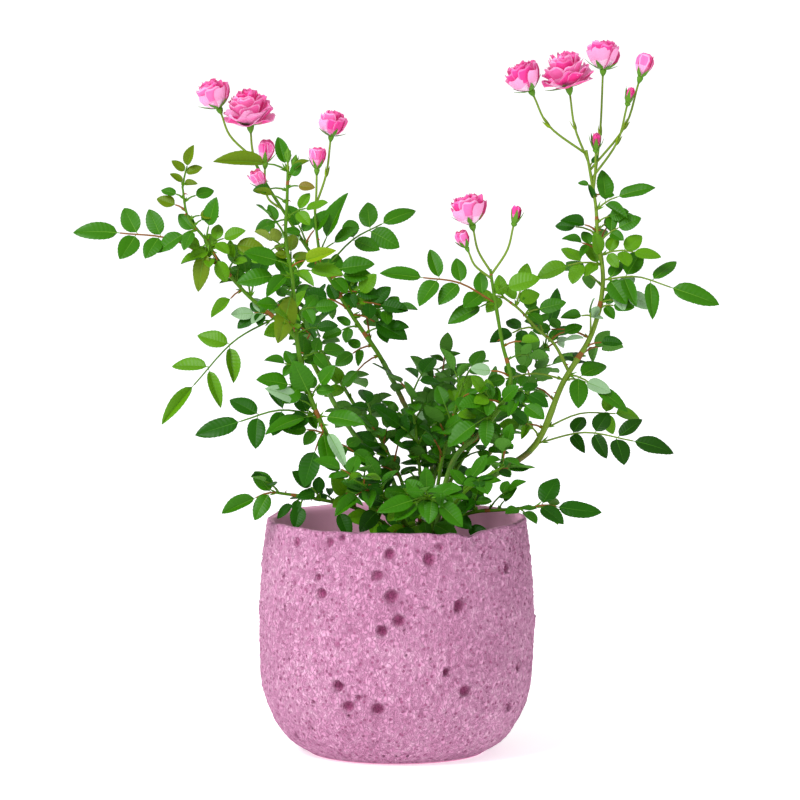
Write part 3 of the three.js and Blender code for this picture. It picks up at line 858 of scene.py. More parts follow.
    def scatter(self) -> list[tuple[float, float, float, float]]:
        """Deals smaller pits over the whole wall, and large ones round the back.

        Returns:
            Rows like those of the named pits.
        """
        numbers = Seeded("pot")
        rows = []
        for index in range(self.scattered):
            large = index % 2 == 0
            turn = numbers.between(85, 275) if large else numbers.between(-180, 180)
            width = numbers.between(4.5, 8) if large else numbers.between(1.6, 3)
            rise = numbers.between(6, 122)
            rows.append((turn, rise, width, numbers.between(0.7, 1.8) * (1 if large else 0.6)))
        return rows


@dataclass
class Ground:
    """Soil under the rim and the woody crown that the canes stand on."""

    soil_floor: float = 9.6
    soil_radius: float = 64.0
    crown_x: float = 15.0
    crown_foot: float = 13.0
    crown_top: float = 11.0
    crown_waist: float = 3.4
    crown_rings: int = 12

    def build(self) -> None:
        """Raises the soil, then the crown."""
        self.soil()
        self.crown()

    def soil(self) -> None:
        """Raises the soil and roughens its top."""
        wide, low, rim = self.soil_radius, self.soil_floor, SOIL_TOP - 0.8
        profile = [(20, low), (41, low + 0.6), (62, 32), (wide + 2, 60), (wide, SOIL_TOP - 3)]
        profile += [(radius, rim + (wide - radius) * 0.02) for radius in range(60, 2, -3)]
        soil = turned("potting_soil", profile, 96)
        points = places(soil)
        rough = np.clip(lumps(points, 0.2, 0.8, 2.2, 4) * 1.4 - 0.7, -2.5, 0.2)
        points[:, 2] += np.where(points[:, 2] > 100, rough, 0)
        put(soil, points)
        soil.data.materials.append(Earth().material())
        report(soil, "soil", "soil")

    def crown(self) -> None:
        """Raises the crown, waisted over its flared foot, and roughens it."""
        flare = []
        for share in shares(self.crown_rings):
            waist = self.crown_waist * math.sin(share * math.pi) ** 0.8
            taper = (self.crown_foot - self.crown_top) * share
            flare.append((self.crown_foot - waist - taper, share * CROWN_HEIGHT))
        flare += [(7, CROWN_HEIGHT), (3, CROWN_HEIGHT - 0.3)]
        crown = turned("root_crown_wood", [(r, SOIL_TOP + GAP + z) for r, z in flare], 40)
        points = places(crown)
        swell = 1 + np.clip(grain(points * (0.35, 0.35, 0.12)) * 0.14, -0.12, 0.02)
        points[:, :2] *= swell[:, None]
        points[:, 0] += self.crown_x
        put(crown, points)
        crown.data.materials.append(CaneBark(green=(96, 84, 46), bright=(112, 104, 56)).material())
        report(crown, "bark", "root_crown")


# ---- Leaves ----


@dataclass(frozen=True)
class Leaflet:
    """One toothed leaflet of unit length: ribs run from the midrib to the margin's teeth."""

    at_midrib: tuple[float, ...] = (
        0.0, 0.08, 0.13, 0.2, 0.28, 0.37, 0.46, 0.56, 0.66, 0.76, 0.87, 0.985,
    )
    at_margin: tuple[float, ...] = (
        0.0, 0.08, 0.16, 0.26, 0.36, 0.46, 0.56, 0.66, 0.76, 0.86, 0.94, 1.0,
    )
    below: tuple[int, ...] = (0, 1, 3, 5, 7, 9, 11)
    rib: float = 0.01
    thickness: float = 0.02

    def half_width(self, along: float) -> float:
        """Gives the outline's half width past a short stalk.

        Args:
            along: the place on the midrib, 0 to 1.

        Returns:
            The half width there, 1 at the widest.
        """
        blade = (along - self.at_margin[1]) / (1 - self.at_margin[1])
        if blade <= 0:
            return 0.04
        return max(blade**0.56 * (1 - blade) ** 0.78 / 0.4038, 0.03)

    def rows(self) -> np.ndarray:
        """Gives along, side, share of the width, height and vein for every point.

        Returns:
            Rows of upper points, then of lower points.
        """
        upper, lower = [], []
        for index, (mid, margin) in enumerate(zip(self.at_midrib, self.at_margin)):
            wide = self.half_width(margin)
            for side in (-1, 1):
                for share, sunk in ((0.0, 0.0), (0.5, 0.03), (0.955, 0.004), (1.0, 0.0)):
                    along = mid + (margin - mid) * share
                    rise = sunk if 0.1 < mid < 0.9 else 0.0
                    upper.append((along, side, share * wide, rise, index))
            if index in self.below:
                for side, share in ((0, 0.0), (-1, 0.94), (1, 0.94)):
                    along = mid + (margin - mid) * share
                    rise = -0.004 if side else -self.thickness
                    lower.append((along, side, share * wide, rise, index))
        return np.array(upper + lower)

    def faces(self) -> tuple[Faces, list[int]]:
        """Gives the faces and what each one is: 0 blade, 1 upper rib, 2 underside.

        Returns:
            The faces and their kinds.
        """
        faces: Faces = []
        kinds: list[int] = []
        ribs = len(self.at_midrib)
        for rib in range(ribs - 1):
            a, b = rib * 8, (rib + 1) * 8
            left = [(b, b + 1, a + 1, a), (b + 1, b + 3, a + 2, a + 1)]
            a, b = a + 4, b + 4
            right = [(a, a + 1, b + 1, b), (a + 1, a + 2, b + 3, b + 1)]
            faces += [*left, *right, (a - 4, a, b, b - 4)]
            kinds += [0, 0, 0, 0, 1]
        for step in range(len(self.below) - 1):
            c = ribs * 8 + step * 3
            faces += [(c + 1, c + 4, c + 3, c), (c, c + 3, c + 5, c + 2)]
            kinds += [2, 2]
        return faces, kinds


@dataclass(frozen=True)
class Coat:
    """The colours of one spray: upper face and underside."""

    upper: Leaf
    under: Leaf


class Season(Enum):
    """How often each coat is dealt in a mass."""

    MATURE = {
        Coat(Leaf.VIVID, Leaf.GREEN_UNDER): 7,
        Coat(Leaf.DARK, Leaf.GREEN_UNDER): 3.5,
        Coat(Leaf.FRESH, Leaf.GREEN_UNDER): 2.5,
        Coat(Leaf.DEEP, Leaf.GREEN_UNDER): 0.5,
        # Pale faces are painted sheen; as an underside, partly the paler underside too.
        Coat(Leaf.FRESH, Leaf.PALE): 0.6,
        Coat(Leaf.PALE, Leaf.GREEN_UNDER): 0.9,
    }
    SHADED = {
        Coat(Leaf.VIVID, Leaf.GREEN_UNDER): 7,
        Coat(Leaf.DARK, Leaf.GREEN_UNDER): 3.5,
        # The pale underside is partly painted sheen.
        Coat(Leaf.FRESH, Leaf.PALE): 1.5,
    }
    YOUNG = {
        Coat(Leaf.FRESH, Leaf.OLIVE_UNDER): 4,
        Coat(Leaf.YELLOW, Leaf.GREEN_UNDER): 1,
        Coat(Leaf.OLIVE, Leaf.OLIVE_UNDER): 3,
        Coat(Leaf.RUSSET, Leaf.OLIVE_UNDER): 0.4,
        Coat(Leaf.VIVID, Leaf.GREEN_UNDER): 4,
    }


@dataclass
class Foliage:
    """Lays leaflets, stipules and sepals of one mass into its sheaf."""

    sheaf: Sheaf
    numbers: Seeded

    pattern = Leaflet()
    rows = pattern.rows()
    net = pattern.faces()
    # Most leaflets are drawn a little folded and the rest deeply.
    little_share, little_fold, deep_fold = 0.84, (0.05, 0.35), (0.6, 1.15)
    # A leaflet longer than so many millimetres has a width in this range of its length.
    widths = ((22, 0.37, 0.45), (16, 0.52, 0.62), (0, 0.58, 0.7))
    droops, bends, waves = (0.04, 0.22), (-0.06, 0.06), (0.0, 0.035)

    def width(self, length: float) -> float:
        """Draws a leaflet's width for its length: the longer, the narrower."""
        low, high = next((low, high) for least, low, high in self.widths if length > least)
        return self.numbers.between(low, high)

    def blade(
        self, foot: Vector, heading: Vector, facing: Vector, length: float, coat: Coat
    ) -> None:
        """Lays one leaflet.

        Args:
            foot: where it joins its stalk.
            heading: the way it points.
            facing: the way its upper face looks.
            length: its length in millimetres.
            coat: its colours.
        """
        across = facing.cross(heading).normalized()
        up = heading.cross(across)
        draw = self.numbers.between
        fold = draw(*(self.little_fold if draw(0, 1) < self.little_share else self.deep_fold))
        width = self.width(length)
        droop, bend, wave = draw(*self.droops), draw(*self.bends), draw(*self.waves)
        phase = draw(*PHASE)
        along, side, share, rise, vein = self.rows.T
        half = share * width / 2
        flat = 1 / math.sqrt(1 + fold**2)
        x = side * np.maximum(half, self.pattern.rib * (1 - along)) * flat
        ripple = wave * np.sin(along * 9 + phase + side) * share
        z = half * fold * flat + rise - droop * along**2 + ripple
        x = x + bend * along**2
        forward = along * (1 - 0.25 * droop * along)
        frame_rows = np.array([heading, across, up])
        points = np.array(foot) + (np.stack([forward, x, z], 1) * length) @ frame_rows
        faces, kinds = self.net
        dealt = [coat.upper.value, Leaf.RIB.value, coat.under.value]
        if coat.upper in (Leaf.DARK, Leaf.DEEP):
            dealt[1] = Leaf.DARK_RIB.value
        self.sheaf.add(points, faces, [dealt[kind] for kind in kinds], vein)

    def strap(
        self,
        foot: Vector,
        heading: Vector,
        facing: Vector,
        size: tuple[float, float],
        finish: PlainFinish,
    ) -> None:
        """Lays a narrow pointed strap, such as a sepal or a stipule.

        Args:
            foot: its root.
            heading: the way it points.
            facing: the way it curls towards.
            size: length and width in millimetres.
            finish: its colour.
        """
        across = facing.cross(heading).normalized()
        up = heading.cross(across)
        length, width = size
        rows = []
        for share, wide in ((0, 0.5), (0.3, 1.0), (0.65, 0.62), (1.0, 0.06)):
            centre = foot + heading * (length * share) + up * (length * 0.22 * share**2)
            for side, lift in ((-1, 0.12), (0, 0.0), (1, 0.12)):
                edge = centre + across * (side * wide * width / 2)
                rows.append(edge + up * (lift * width * wide))
        under = [row - up * (0.14 if index % 3 == 1 else 0.02) for index, row in enumerate(rows)]
        faces: Faces = []
        for row in range(3):
            for column in range(2):
                a = row * 3 + column
                faces += [(a, a + 1, a + 4, a + 3), (a + 15, a + 16, a + 13, a + 12)]
        self.sheaf.add(np.array(rows + under), faces, [finish])


# ---- Blooms ----


@dataclass(frozen=True)
class Opening:
    """A flower's sizes in its own diameters, and its sepals' lean from its axis in degrees."""

    height: float
    neck: float
    hip_width: float
    sepal_lean: float
    sepal_length: float


class Bloom(Enum):
    """How far each kind of flower has opened."""

    OPEN = Opening(0.92, 0.2, 0.085, 92, 0.42)
    CUP = Opening(1.08, 0.22, 0.11, 74, 0.5)
    BUD = Opening(1.46, 0.36, 0.16, 42, 0.66)
    SMALL_BUD = Opening(1.85, 0.3, 0.27, 30, 1.2)
    GREEN_BUD = Opening(1.84, 0.3, 0.27, 30, 1.2)


@dataclass(frozen=True)
class Whorl:
    """One ring of petals.

    Lean from the axis, curl and flare of the tip are in degrees, length and width in diameters,
    and the tones of the petals' inner and outer faces run from root to edge.
    """

    count: int
    lean: float
    curl: float
    flare: float
    length: float
    width: float
    inner: tuple[Petal, ...]
    outer: tuple[Petal, ...]


HOT = (Petal.HEART, Petal.HEART, Petal.DEEP, Petal.DEEP, Petal.MID)
WARM = (Petal.HEART, Petal.DEEP, Petal.DEEP, Petal.MID, Petal.MID)
SOFT = (Petal.DEEP, Petal.DEEP, Petal.MID, Petal.MID, Petal.PALE)
FADED = (Petal.MID, Petal.MID, Petal.PALE, Petal.PALE, Petal.EDGE)
BACK_HOT = (Petal.PALE, Petal.MID, Petal.DEEP, Petal.DEEP, Petal.MID)
BACK = (Petal.PALE, Petal.PALE, Petal.MID, Petal.MID, Petal.PALE)
BACK_PALE = (Petal.EDGE, Petal.EDGE, Petal.PALE, Petal.PALE, Petal.PALE)
BACK_DUSK = (Petal.DUSK, Petal.DUSK, Petal.DUSK, Petal.DEEP, Petal.DUSK)

WHORLS = {
    # Outer rings' pale backs: partly the petals' own paler tint, partly painted light on shaded
    # undersides.
    Bloom.OPEN: [
        Whorl(6, 92, -26, 8, 0.52, 0.56, FADED, BACK_PALE),
        Whorl(6, 78, -40, 12, 0.57, 0.54, FADED, BACK_PALE),
        Whorl(6, 64, -46, 18, 0.62, 0.46, SOFT, BACK),
        Whorl(6, 50, -44, 20, 0.66, 0.4, WARM, BACK),
        Whorl(5, 36, -36, 20, 0.68, 0.32, WARM, BACK),
        Whorl(5, 22, -26, 18, 0.69, 0.25, HOT, BACK_HOT),
        Whorl(3, 8, -12, 10, 0.68, 0.2, HOT, BACK_HOT),
    ],
    Bloom.CUP: [
        Whorl(5, 80, -96, 22, 0.84, 0.58, SOFT, BACK_PALE),
        Whorl(5, 68, -84, 18, 0.9, 0.54, WARM, BACK),
        Whorl(5, 53, -66, 16, 0.9, 0.46, WARM, BACK),
        Whorl(5, 38, -50, 16, 0.88, 0.38, HOT, BACK_HOT),
        Whorl(4, 24, -32, 14, 0.86, 0.3, HOT, BACK_HOT),
        Whorl(3, 9, -14, 10, 0.82, 0.24, HOT, BACK_HOT),
    ],
    Bloom.BUD: [
        Whorl(5, 46, -74, 14, 1.14, 0.8, WARM, BACK),
        Whorl(5, 32, -50, 12, 1.16, 0.62, HOT, BACK_HOT),
        Whorl(4, 16, -26, 10, 1.12, 0.44, (*HOT[:4], Petal.GOLD), BACK_HOT),
    ],
    Bloom.SMALL_BUD: [
        Whorl(5, 38, -76, 0, 1.46, 0.64, HOT, BACK_DUSK),
        Whorl(3, 14, -26, 0, 1.34, 0.4, HOT, BACK_DUSK),
    ],
    Bloom.GREEN_BUD: [],
}


@dataclass
class Blossom:
    """Lays the petals of one mass's flowers into its sheaf."""

    sheaf: Sheaf
    numbers: Seeded

    # Share of the length and width there, then the places across the width.
    outline = ((0.0, 0.24), (0.25, 0.6), (0.5, 0.88), (0.76, 1.0), (0.93, 0.84), (1.0, 0.56))
    across = (-1.0, -0.87, -0.46, 0.0, 0.46, 0.87, 1.0)
    overlap, cupping, notching, thickness = 0.22, 0.42, 0.05, 0.18
    lean_play, curl_play, turn_play = 6, 9, 9
    plain_back_share = 0.7
    root_out, root_step = 0.045, 0.012

    def petal(self, foot: Vector, axis: Vector, out: Vector, whorl: Whorl, diameter: float) -> None:
        """Lays one petal with its two faces, one side over its neighbour and the other under.

        Args:
            foot: its root on the hip.
            axis: the flower's axis.
            out: away from the axis, square to it.
            whorl: the ring it belongs to.
            diameter: the flower's diameter.
        """
        draw = self.numbers.between
        lean = math.radians(whorl.lean + draw(-self.lean_play, self.lean_play))
        curl = math.radians(whorl.curl + draw(-self.curl_play, self.curl_play))
        flare = math.radians(whorl.flare * draw(0.4, 1.6))
        length = whorl.length * diameter * draw(0.93, 1.05)
        wave, phase = draw(0.02, 0.06) * diameter, draw(*PHASE)
        side_way = axis.cross(out)
        centre = foot.copy()
        before = 0.0
        rows, backs = [], []
        for share, wide in self.outline:
            middle = (share + before) / 2
            angle = lean + curl * middle + flare * middle**3
            along = axis * math.cos(angle) + out * math.sin(angle)
            centre = centre + along * (length * (share - before))
            before = share
            angle = lean + curl * share + flare * share**3
            along = axis * math.cos(angle) + out * math.sin(angle)
            inward = axis * math.sin(angle) - out * math.cos(angle)
            half = whorl.width * diameter * wide / 2
            for side in self.across:
                lift = abs(side) ** 1.8 * half * self.cupping + side * half * self.overlap
                lift += wave * share**3 * math.sin(phase + side * 2.4)
                notch = -self.notching * length * share**6 * (1.2 - abs(side))
                rows.append(centre + side_way * (half * side) + inward * lift + along * notch)
                backs.append(rows[-1] - inward * self.thickness)
        wide = len(self.across)
        outer = whorl.outer if draw(0, 1) < self.plain_back_share else BACK_HOT
        faces: Faces = []
        dealt: list[PlainFinish] = []
        for row in range(len(self.outline) - 1):
            for column in range(wide - 1):
                a = row * wide + column
                b = a + len(rows)
                faces += [(a, a + 1, a + wide + 1, a + wide), (b + wide, b + wide + 1, b + 1, b)]
                tone = 4 if column in (0, wide - 2) and row else row
                dealt += [whorl.inner[tone].value, outer[tone].value]
        self.sheaf.add(np.array(rows + backs), faces, dealt)

    def rosette(self, hip: Vector, axis: Vector, kind: Bloom, diameter: float) -> None:
        """Lays all rings of petals.

        Args:
            hip: the foot of the flower's hip.
            axis: the flower's axis.
            kind: how far it has opened.
            diameter: its diameter.
        """
        foot = hip + axis * (kind.value.neck * diameter)
        turn = self.numbers.between(0, 360)
        for ring, whorl in enumerate(WHORLS[kind]):
            for index in range(whorl.count):
                play = self.numbers.between(-self.turn_play, self.turn_play)
                spin = math.radians(turn + 360 * index / whorl.count + play)
                out = around(axis, spin)
                root = foot + out * (self.root_out * diameter)
                root += axis * (self.root_step * ring * diameter)
                self.petal(root, axis, out, whorl, diameter)
            turn += 180 / whorl.count + 9


# ---- The plant's limbs and masses ----


@dataclass(frozen=True)
class Branch:
    """A side shoot: its place on the stem, the points it goes through, its leaves and blooms."""

    place: float
    points: tuple[Point, ...]
    leaves: Rows = ()
    blooms: tuple[tuple, ...] = ()


@dataclass(frozen=True)
class Mass:
    """A mass of foliage or blossom on a cane, up to a place on it.

    A leaf row is place, lean, depth, reach, pairs and size. A bloom row is kind, place, x, y, z
    and diameter. The leaves are the main ones, more are the smaller ones between them, and fine
    counts those dealt by the rule.
    """

    name: str
    to: float
    leaves: Rows = ()
    blooms: tuple[tuple, ...] = ()
    branches: tuple[Branch, ...] = ()
    seeded: int = 0
    size: float = 0.0
    more: Rows = ()
    fine: int = 0
    fine_size: float = 13.0
    season: Season = Season.MATURE


@dataclass
class Cane:
    """One cane: a curve cut into its bare bough and the masses that go on from it."""

    points: tuple[Point, ...]
    radii: tuple[float, float]
    masses: tuple[Mass, ...]
    bough: str = ""
    bough_to: float = 0.0
    wood: Wood = Wood.GREEN

    pair_spread = 62.0
    # Leaves look to the front, and those that reach back by more than turns_from degrees look back.
    front, back, turns_from = Vector((0, -0.78, 0.62)), Vector((0, 0.78, 0.62)), 28
    node_swell, node_width = 0.16, 0.07
    wrinkle_scale, wrinkle_depth = (1.6, 1.6, 0.35), 0.22

    def build(self) -> None:
        """Builds the bough, then each mass from where the last one ended."""
        self.line = Line(list(self.points))
        start = 0.0
        if self.bough:
            self.build_bough()
            start = self.bough_to
        for mass in self.masses:
            MassBuilder(self, mass, start).build()
            start = mass.to

    def radius(self, share: float) -> float:
        """Gives the cane's radius at a share of its length."""
        return self.radii[0] + (self.radii[1] - self.radii[0]) * share

    def build_bough(self) -> None:
        """Draws the bough as a bevelled curve, turns it into a mesh and wrinkles its bark."""
        deselect()
        bpy.ops.curve.primitive_nurbs_path_add(location=(0, 0, 0))
        drawn = bpy.context.object
        drawn.name = f"{self.bough}_bark"
        shape = drawn.data
        shape.splines.clear()
        shape.dimensions = "3D"
        shape.twist_mode = "MINIMUM"
        shape.bevel_depth = MM
        shape.bevel_resolution = 4
        shape.use_fill_caps = True
        spline = shape.splines.new("POLY")
        steps = int(self.bough_to * 16)
        spline.points.add(steps)
        for index, point in enumerate(spline.points):
            share = self.bough_to * index / steps / self.line.last
            spot = self.line.at(share) * MM
            point.co = (*spot, 1)
            node = hump((share * self.line.last) % 1, 0.5, self.node_width)
            point.radius = self.radius(share) * (0.97 + self.node_swell * node)
        bpy.ops.object.convert(target="MESH")
        piece = bpy.context.object
        bpy.ops.object.shade_smooth()
        points = places(piece)
        wrinkle = grain(points * self.wrinkle_scale) * self.wrinkle_depth
        normals = np.array([vertex.normal for vertex in piece.data.vertices])
        points += normals * wrinkle[:, None]
        points[:, 2] = np.maximum(points[:, 2], CANE_CUT)
        put(piece, points)
        piece.data.materials.clear()
        piece.data.materials.append(CaneBark().material())
        piece.select_set(False)
        report(piece, "bark", self.bough)


@dataclass
class MassBuilder:
    """Grows one mass by the plant's rule, from its stem to its finest twigs, leaves and petals."""

    cane: Cane
    mass: Mass
    start: float

    # Where dealt leaves start and end on the stem, their turn from one to the next, and how far
    # they lean out of it.
    first, end, turn, outward = 0.3, 0.97, 137.5, 0.85
    # How far the pairs sit behind the end leaflet in its lengths, and the nearest to the stem.
    first_pair, next_pair, nearest = 0.36, 0.5, 0.3
    # The pairs' length in the end leaflet's: the first, what each next one loses, and the least.
    pair_size, pair_loss, least_size = 0.78, 0.1, 0.45
    tilt = (0.3, 0.2, 0.25)
    node_swell, node_width, red_from, red_nodes, red_petioles = 0.18, 0.09, 1.14, 0.4, 0.3
    shoot_radius, shoot_taper = 1.0, 0.3
    petiole_radius, petiole_taper = 0.62, 0.2
    stalk_radius, stalk_taper, stalk_steps = 0.72, 0.14, 10
    stalk_bend = (0.74, 0.52)
    bract_from, bract_place = 30.0, 0.44
    prickle_radii = (0.55, 0.32, 0.05)

    def build(self) -> None:
        """Grows the stem, leaves, side shoots and blooms, then makes one piece of each kind."""
        self.twigs, self.green, self.petals = Sheaf(), Sheaf(), Sheaf()
        self.rule = Seeded(self.mass.name)
        self.free = Seeded(self.mass.name + "_fine")
        self.foliage = Foliage(self.green, self.free)
        self.blossom = Blossom(self.petals, self.free)
        self.stem(self.cane.line, self.start, self.mass.to, self.cane.radius)
        dealt = self.seeded_rows(self.mass.seeded, self.mass.size, self.rule)
        self.leaves(self.cane.line, dealt or self.listed(self.mass.leaves), self.rule)
        self.flowers(self.cane.line, self.mass.blooms)
        for branch in self.mass.branches:
            root = tuple(self.cane.line.at(branch.place / self.cane.line.last))
            line = Line([root, *branch.points])
            self.stem(line, 0, line.last, self.shoot)
            self.leaves(line, self.listed(branch.leaves), self.rule)
            self.flowers(line, branch.blooms)
        self.leaves(self.cane.line, self.listed(self.mass.more), self.free)
        fine = self.seeded_rows(self.mass.fine, self.mass.fine_size, self.free)
        self.leaves(self.cane.line, fine, self.free)
        self.finish()

    def shoot(self, share: float) -> float:
        """Gives a side shoot's radius at a share of its length."""
        return self.shoot_radius - self.shoot_taper * share

    def finish(self) -> None:
        """Makes the pieces and hangs them in place of the mass's solid."""
        name = self.mass.name
        young = self.mass.season is Season.YOUNG
        kinds = (
            (self.twigs, "twigs", "bark"),
            (self.green, "greenery", "young_leaf" if young else "leaf"),
            (self.petals, "petals", "blossom"),
        )
        for sheaf, kind, slot in kinds:
            if sheaf.faces:
                report(sheaf.build(f"{name}_{kind}"), slot, name)

    def stem(self, line: Line, start: float, to: float, radius: Callable[[float], float]) -> None:
        """Lays a stem with a little swelling, redder at each node, and its prickles.

        Args:
            line: the curve it follows.
            start: its first place on the curve.
            to: its last place.
            radius: the radius at a share of the curve.
        """
        steps = max(4, int((to - start) * 8))
        spots = [start + (to - start) * index / steps for index in range(steps + 1)]
        spots[0] = max(0.0, spots[0] - 0.03)
        swell = [1 + self.node_swell * hump(spot % 1, 0.5, self.node_width) for spot in spots]
        centres = [line.at(spot / line.last) for spot in spots]
        for index, centre in enumerate(centres):
            centre.z = max(centre.z, CANE_CUT + 0.01 * index)
        radii = [radius(spot / line.last) * 0.98 * more for spot, more in zip(spots, swell)]
        points, faces = tube(centres, radii, 8)
        dealt = [self.cane.wood.value] * len(faces)
        for ring, more in enumerate(swell[:-1]):
            if more > self.red_from and self.free.between(0, 1) < self.red_nodes:
                dealt[ring * 8 : ring * 8 + 8] = [Wood.RED.value] * 8
        self.twigs.add(points, faces, dealt)
        for spot in spots[2:-2:5]:
            self.prickle(line, spot / line.last, radius(spot / line.last))

    def prickle(self, line: Line, share: float, radius: float) -> None:
        """Lays one small hooked prickle on a stem.

        Args:
            line: the stem's curve.
            share: the share of it where the prickle sits.
            radius: the stem's radius there.
        """
        along = line.heading(share)
        out = around(along, self.free.between(0, 6.28))
        foot = line.at(share) + out * (radius * 0.7)
        tip = foot + out * 2.0 - along * 0.6
        points, faces = tube([foot, foot + out * 0.9, tip], self.prickle_radii, 5)
        self.twigs.add(points, faces, [Wood.THORN.value])

    def listed(self, rows: Rows) -> list[tuple]:
        """Turns leaf rows into place, heading, facing, reach, pairs and size.

        Args:
            rows: the mass's or side shoot's leaf rows.

        Returns:
            The leaves to grow.
        """
        made = []
        for place, lean, depth, reach, pairs, size in rows:
            turn, away = math.radians(lean), math.radians(depth)
            ahead = math.cos(away)
            heading = Vector((ahead * math.cos(turn), math.sin(away), ahead * math.sin(turn)))
            facing = self.cane.back if depth > self.cane.turns_from else self.cane.front
            made.append((place, heading, facing, reach, pairs, size))
        return made

    def seeded_rows(self, count: int, size: float, numbers: Seeded) -> list[tuple]:
        """Deals leaves round the stem by a fixed turn, pointing out and up along it.

        Args:
            count: how many.
            size: the usual length of an end leaflet.
            numbers: the row of numbers to draw from.

        Returns:
            The leaves to grow.
        """
        rows = []
        for index in range(count):
            share = self.first + (self.end - self.first) * (index + 1) / count
            place = self.start + (self.mass.to - self.start) * share
            along = self.cane.line.heading(place / self.cane.line.last)
            spin = math.radians(self.turn * index + numbers.between(-20, 20))
            across = along.cross(Vector((1, 0, 0))).normalized()
            out = ((Quaternion(along, spin) @ across) * self.outward + along).normalized()
            reach = numbers.between(8, 16)
            length = size * numbers.between(0.85, 1.15)
            side = out.y if numbers is self.rule or self.cane.points[-1][1] > 40 else -1
            facing = Vector((0, math.copysign(0.5, side), 0.86))
            rows.append((place, out, facing, reach, 1, length))
        return rows

    def tilted(self, facing: Vector, numbers: Seeded) -> Vector:
        """Turns a facing a little, at random."""
        lean = Vector([numbers.between(-most, most) for most in self.tilt])
        return (lean + facing).normalized()

    def leaves(self, line: Line, rows: list[tuple], numbers: Seeded) -> None:
        """Grows compound leaves: a petiole with pairs of leaflets and one at its end.

        Args:
            line: the stem's curve.
            rows: the leaves.
            numbers: the row of numbers that turns them.
        """
        for place, heading, facing, reach, pairs, size in rows:
            coat = self.free.pick(self.mass.season.value)
            foot = line.at(place / line.last)
            end = foot + heading * reach
            bend = foot.lerp(end, 0.5) + Vector((0, 0, reach * 0.1))
            rachis = Line([tuple(foot), tuple(bend), tuple(end)])
            steps = max(3, int(reach / 5))
            spots = shares(steps)
            radii = [self.petiole_radius - self.petiole_taper * spot for spot in spots]
            points, faces = tube([rachis.at(spot) for spot in spots], radii, 6)
            tone = Wood.RED if self.free.between(0, 1) < self.red_petioles else self.cane.wood
            self.twigs.add(points, faces, [tone.value])
            tip = rachis.heading(1)
            self.foliage.blade(end - tip * 0.6, tip, self.tilted(facing, numbers), size, coat)
            for pair in range(int(pairs)):
                back = size * (self.first_pair + self.next_pair * pair) / reach
                share = max(1 - back, self.nearest * (pairs - pair) / pairs)
                along = rachis.heading(share)
                length = size * max(self.pair_size - self.pair_loss * pair, self.least_size)
                for side in (-1, 1):
                    normal = self.tilted(facing, numbers)
                    spread = math.radians(side * (self.cane.pair_spread + numbers.between(-9, 9)))
                    upright = (normal - along * normal.dot(along)).normalized()
                    out = Quaternion(upright, spread) @ along
                    joint = rachis.at(share) + along * (side * 0.45)
                    self.foliage.blade(joint, out, normal, length * numbers.between(0.9, 1.1), coat)
            self.stipules(rachis, facing, size)

    def stipules(self, rachis: Line, facing: Vector, size: float) -> None:
        """Lays the two narrow wings at a petiole's foot.

        Args:
            rachis: the petiole's curve.
            facing: the way its leaflets look.
            size: its end leaflet's length.
        """
        along = rachis.heading(0.05)
        side_way = facing.cross(along).normalized()
        for side in (-1, 1):
            heading = (along + side_way * (side * 0.55)).normalized()
            wing = (min(size * 0.22, 5), 1.3)
            self.foliage.strap(rachis.at(0.06), heading, facing, wing, Leaf.FRESH.value)

    def flowers(self, line: Line, rows: tuple[tuple, ...]) -> None:
        """Grows each bloom on its stalk, with its hip, sepals and petals.

        Args:
            line: the stem's curve.
            rows: the bloom rows.
        """
        for kind, place, x, y, z, diameter in rows:
            opening = kind.value
            start = line.at(place / line.last)
            centre = Vector((x, y, z))
            rise = (opening.neck + opening.height) / 2 * diameter
            upright = self.stalk(start, centre - Vector((0, 0, rise)))
            hip = centre - upright.heading(1) * rise
            stalk = self.stalk(start, hip)
            spots = shares(self.stalk_steps)
            radii = [self.stalk_radius - self.stalk_taper * spot for spot in spots]
            points, faces = tube([stalk.at(spot) for spot in spots], radii, 7)
            self.twigs.add(points, faces, [Wood.BRIGHT.value])
            if (hip - start).length > self.bract_from:
                self.bracts(stalk, self.bract_place)
            axis = stalk.heading(1)
            self.hip(hip, axis, kind, diameter)
            self.blossom.rosette(hip, axis, kind, diameter)

    def bracts(self, stalk: Line, share: float) -> None:
        """Lays two small bracts on a long flower stalk.

        Args:
            stalk: the stalk's curve.
            share: the share of it where they sit.
        """
        along = stalk.heading(share)
        for spin in (0.4, 2.9):
            out = around(along, spin)
            facing = along * 0.5 - out
            heading = (along + out * 0.5).normalized()
            self.foliage.strap(stalk.at(share), heading, facing, (7, 2), Leaf.YELLOW.value)

    def stalk(self, start: Vector, hip: Vector) -> Line:
        """Draws a stalk that leaves the stem outwards and turns up into the hip.

        Args:
            start: its foot on the stem.
            hip: the foot of the flower's hip.

        Returns:
            The stalk's curve.
        """
        across, up = self.stalk_bend
        bend = start.lerp(hip, across)
        bend.z = start.z + (hip.z - start.z) * up
        return Line([tuple(start), tuple(bend), tuple(hip)])

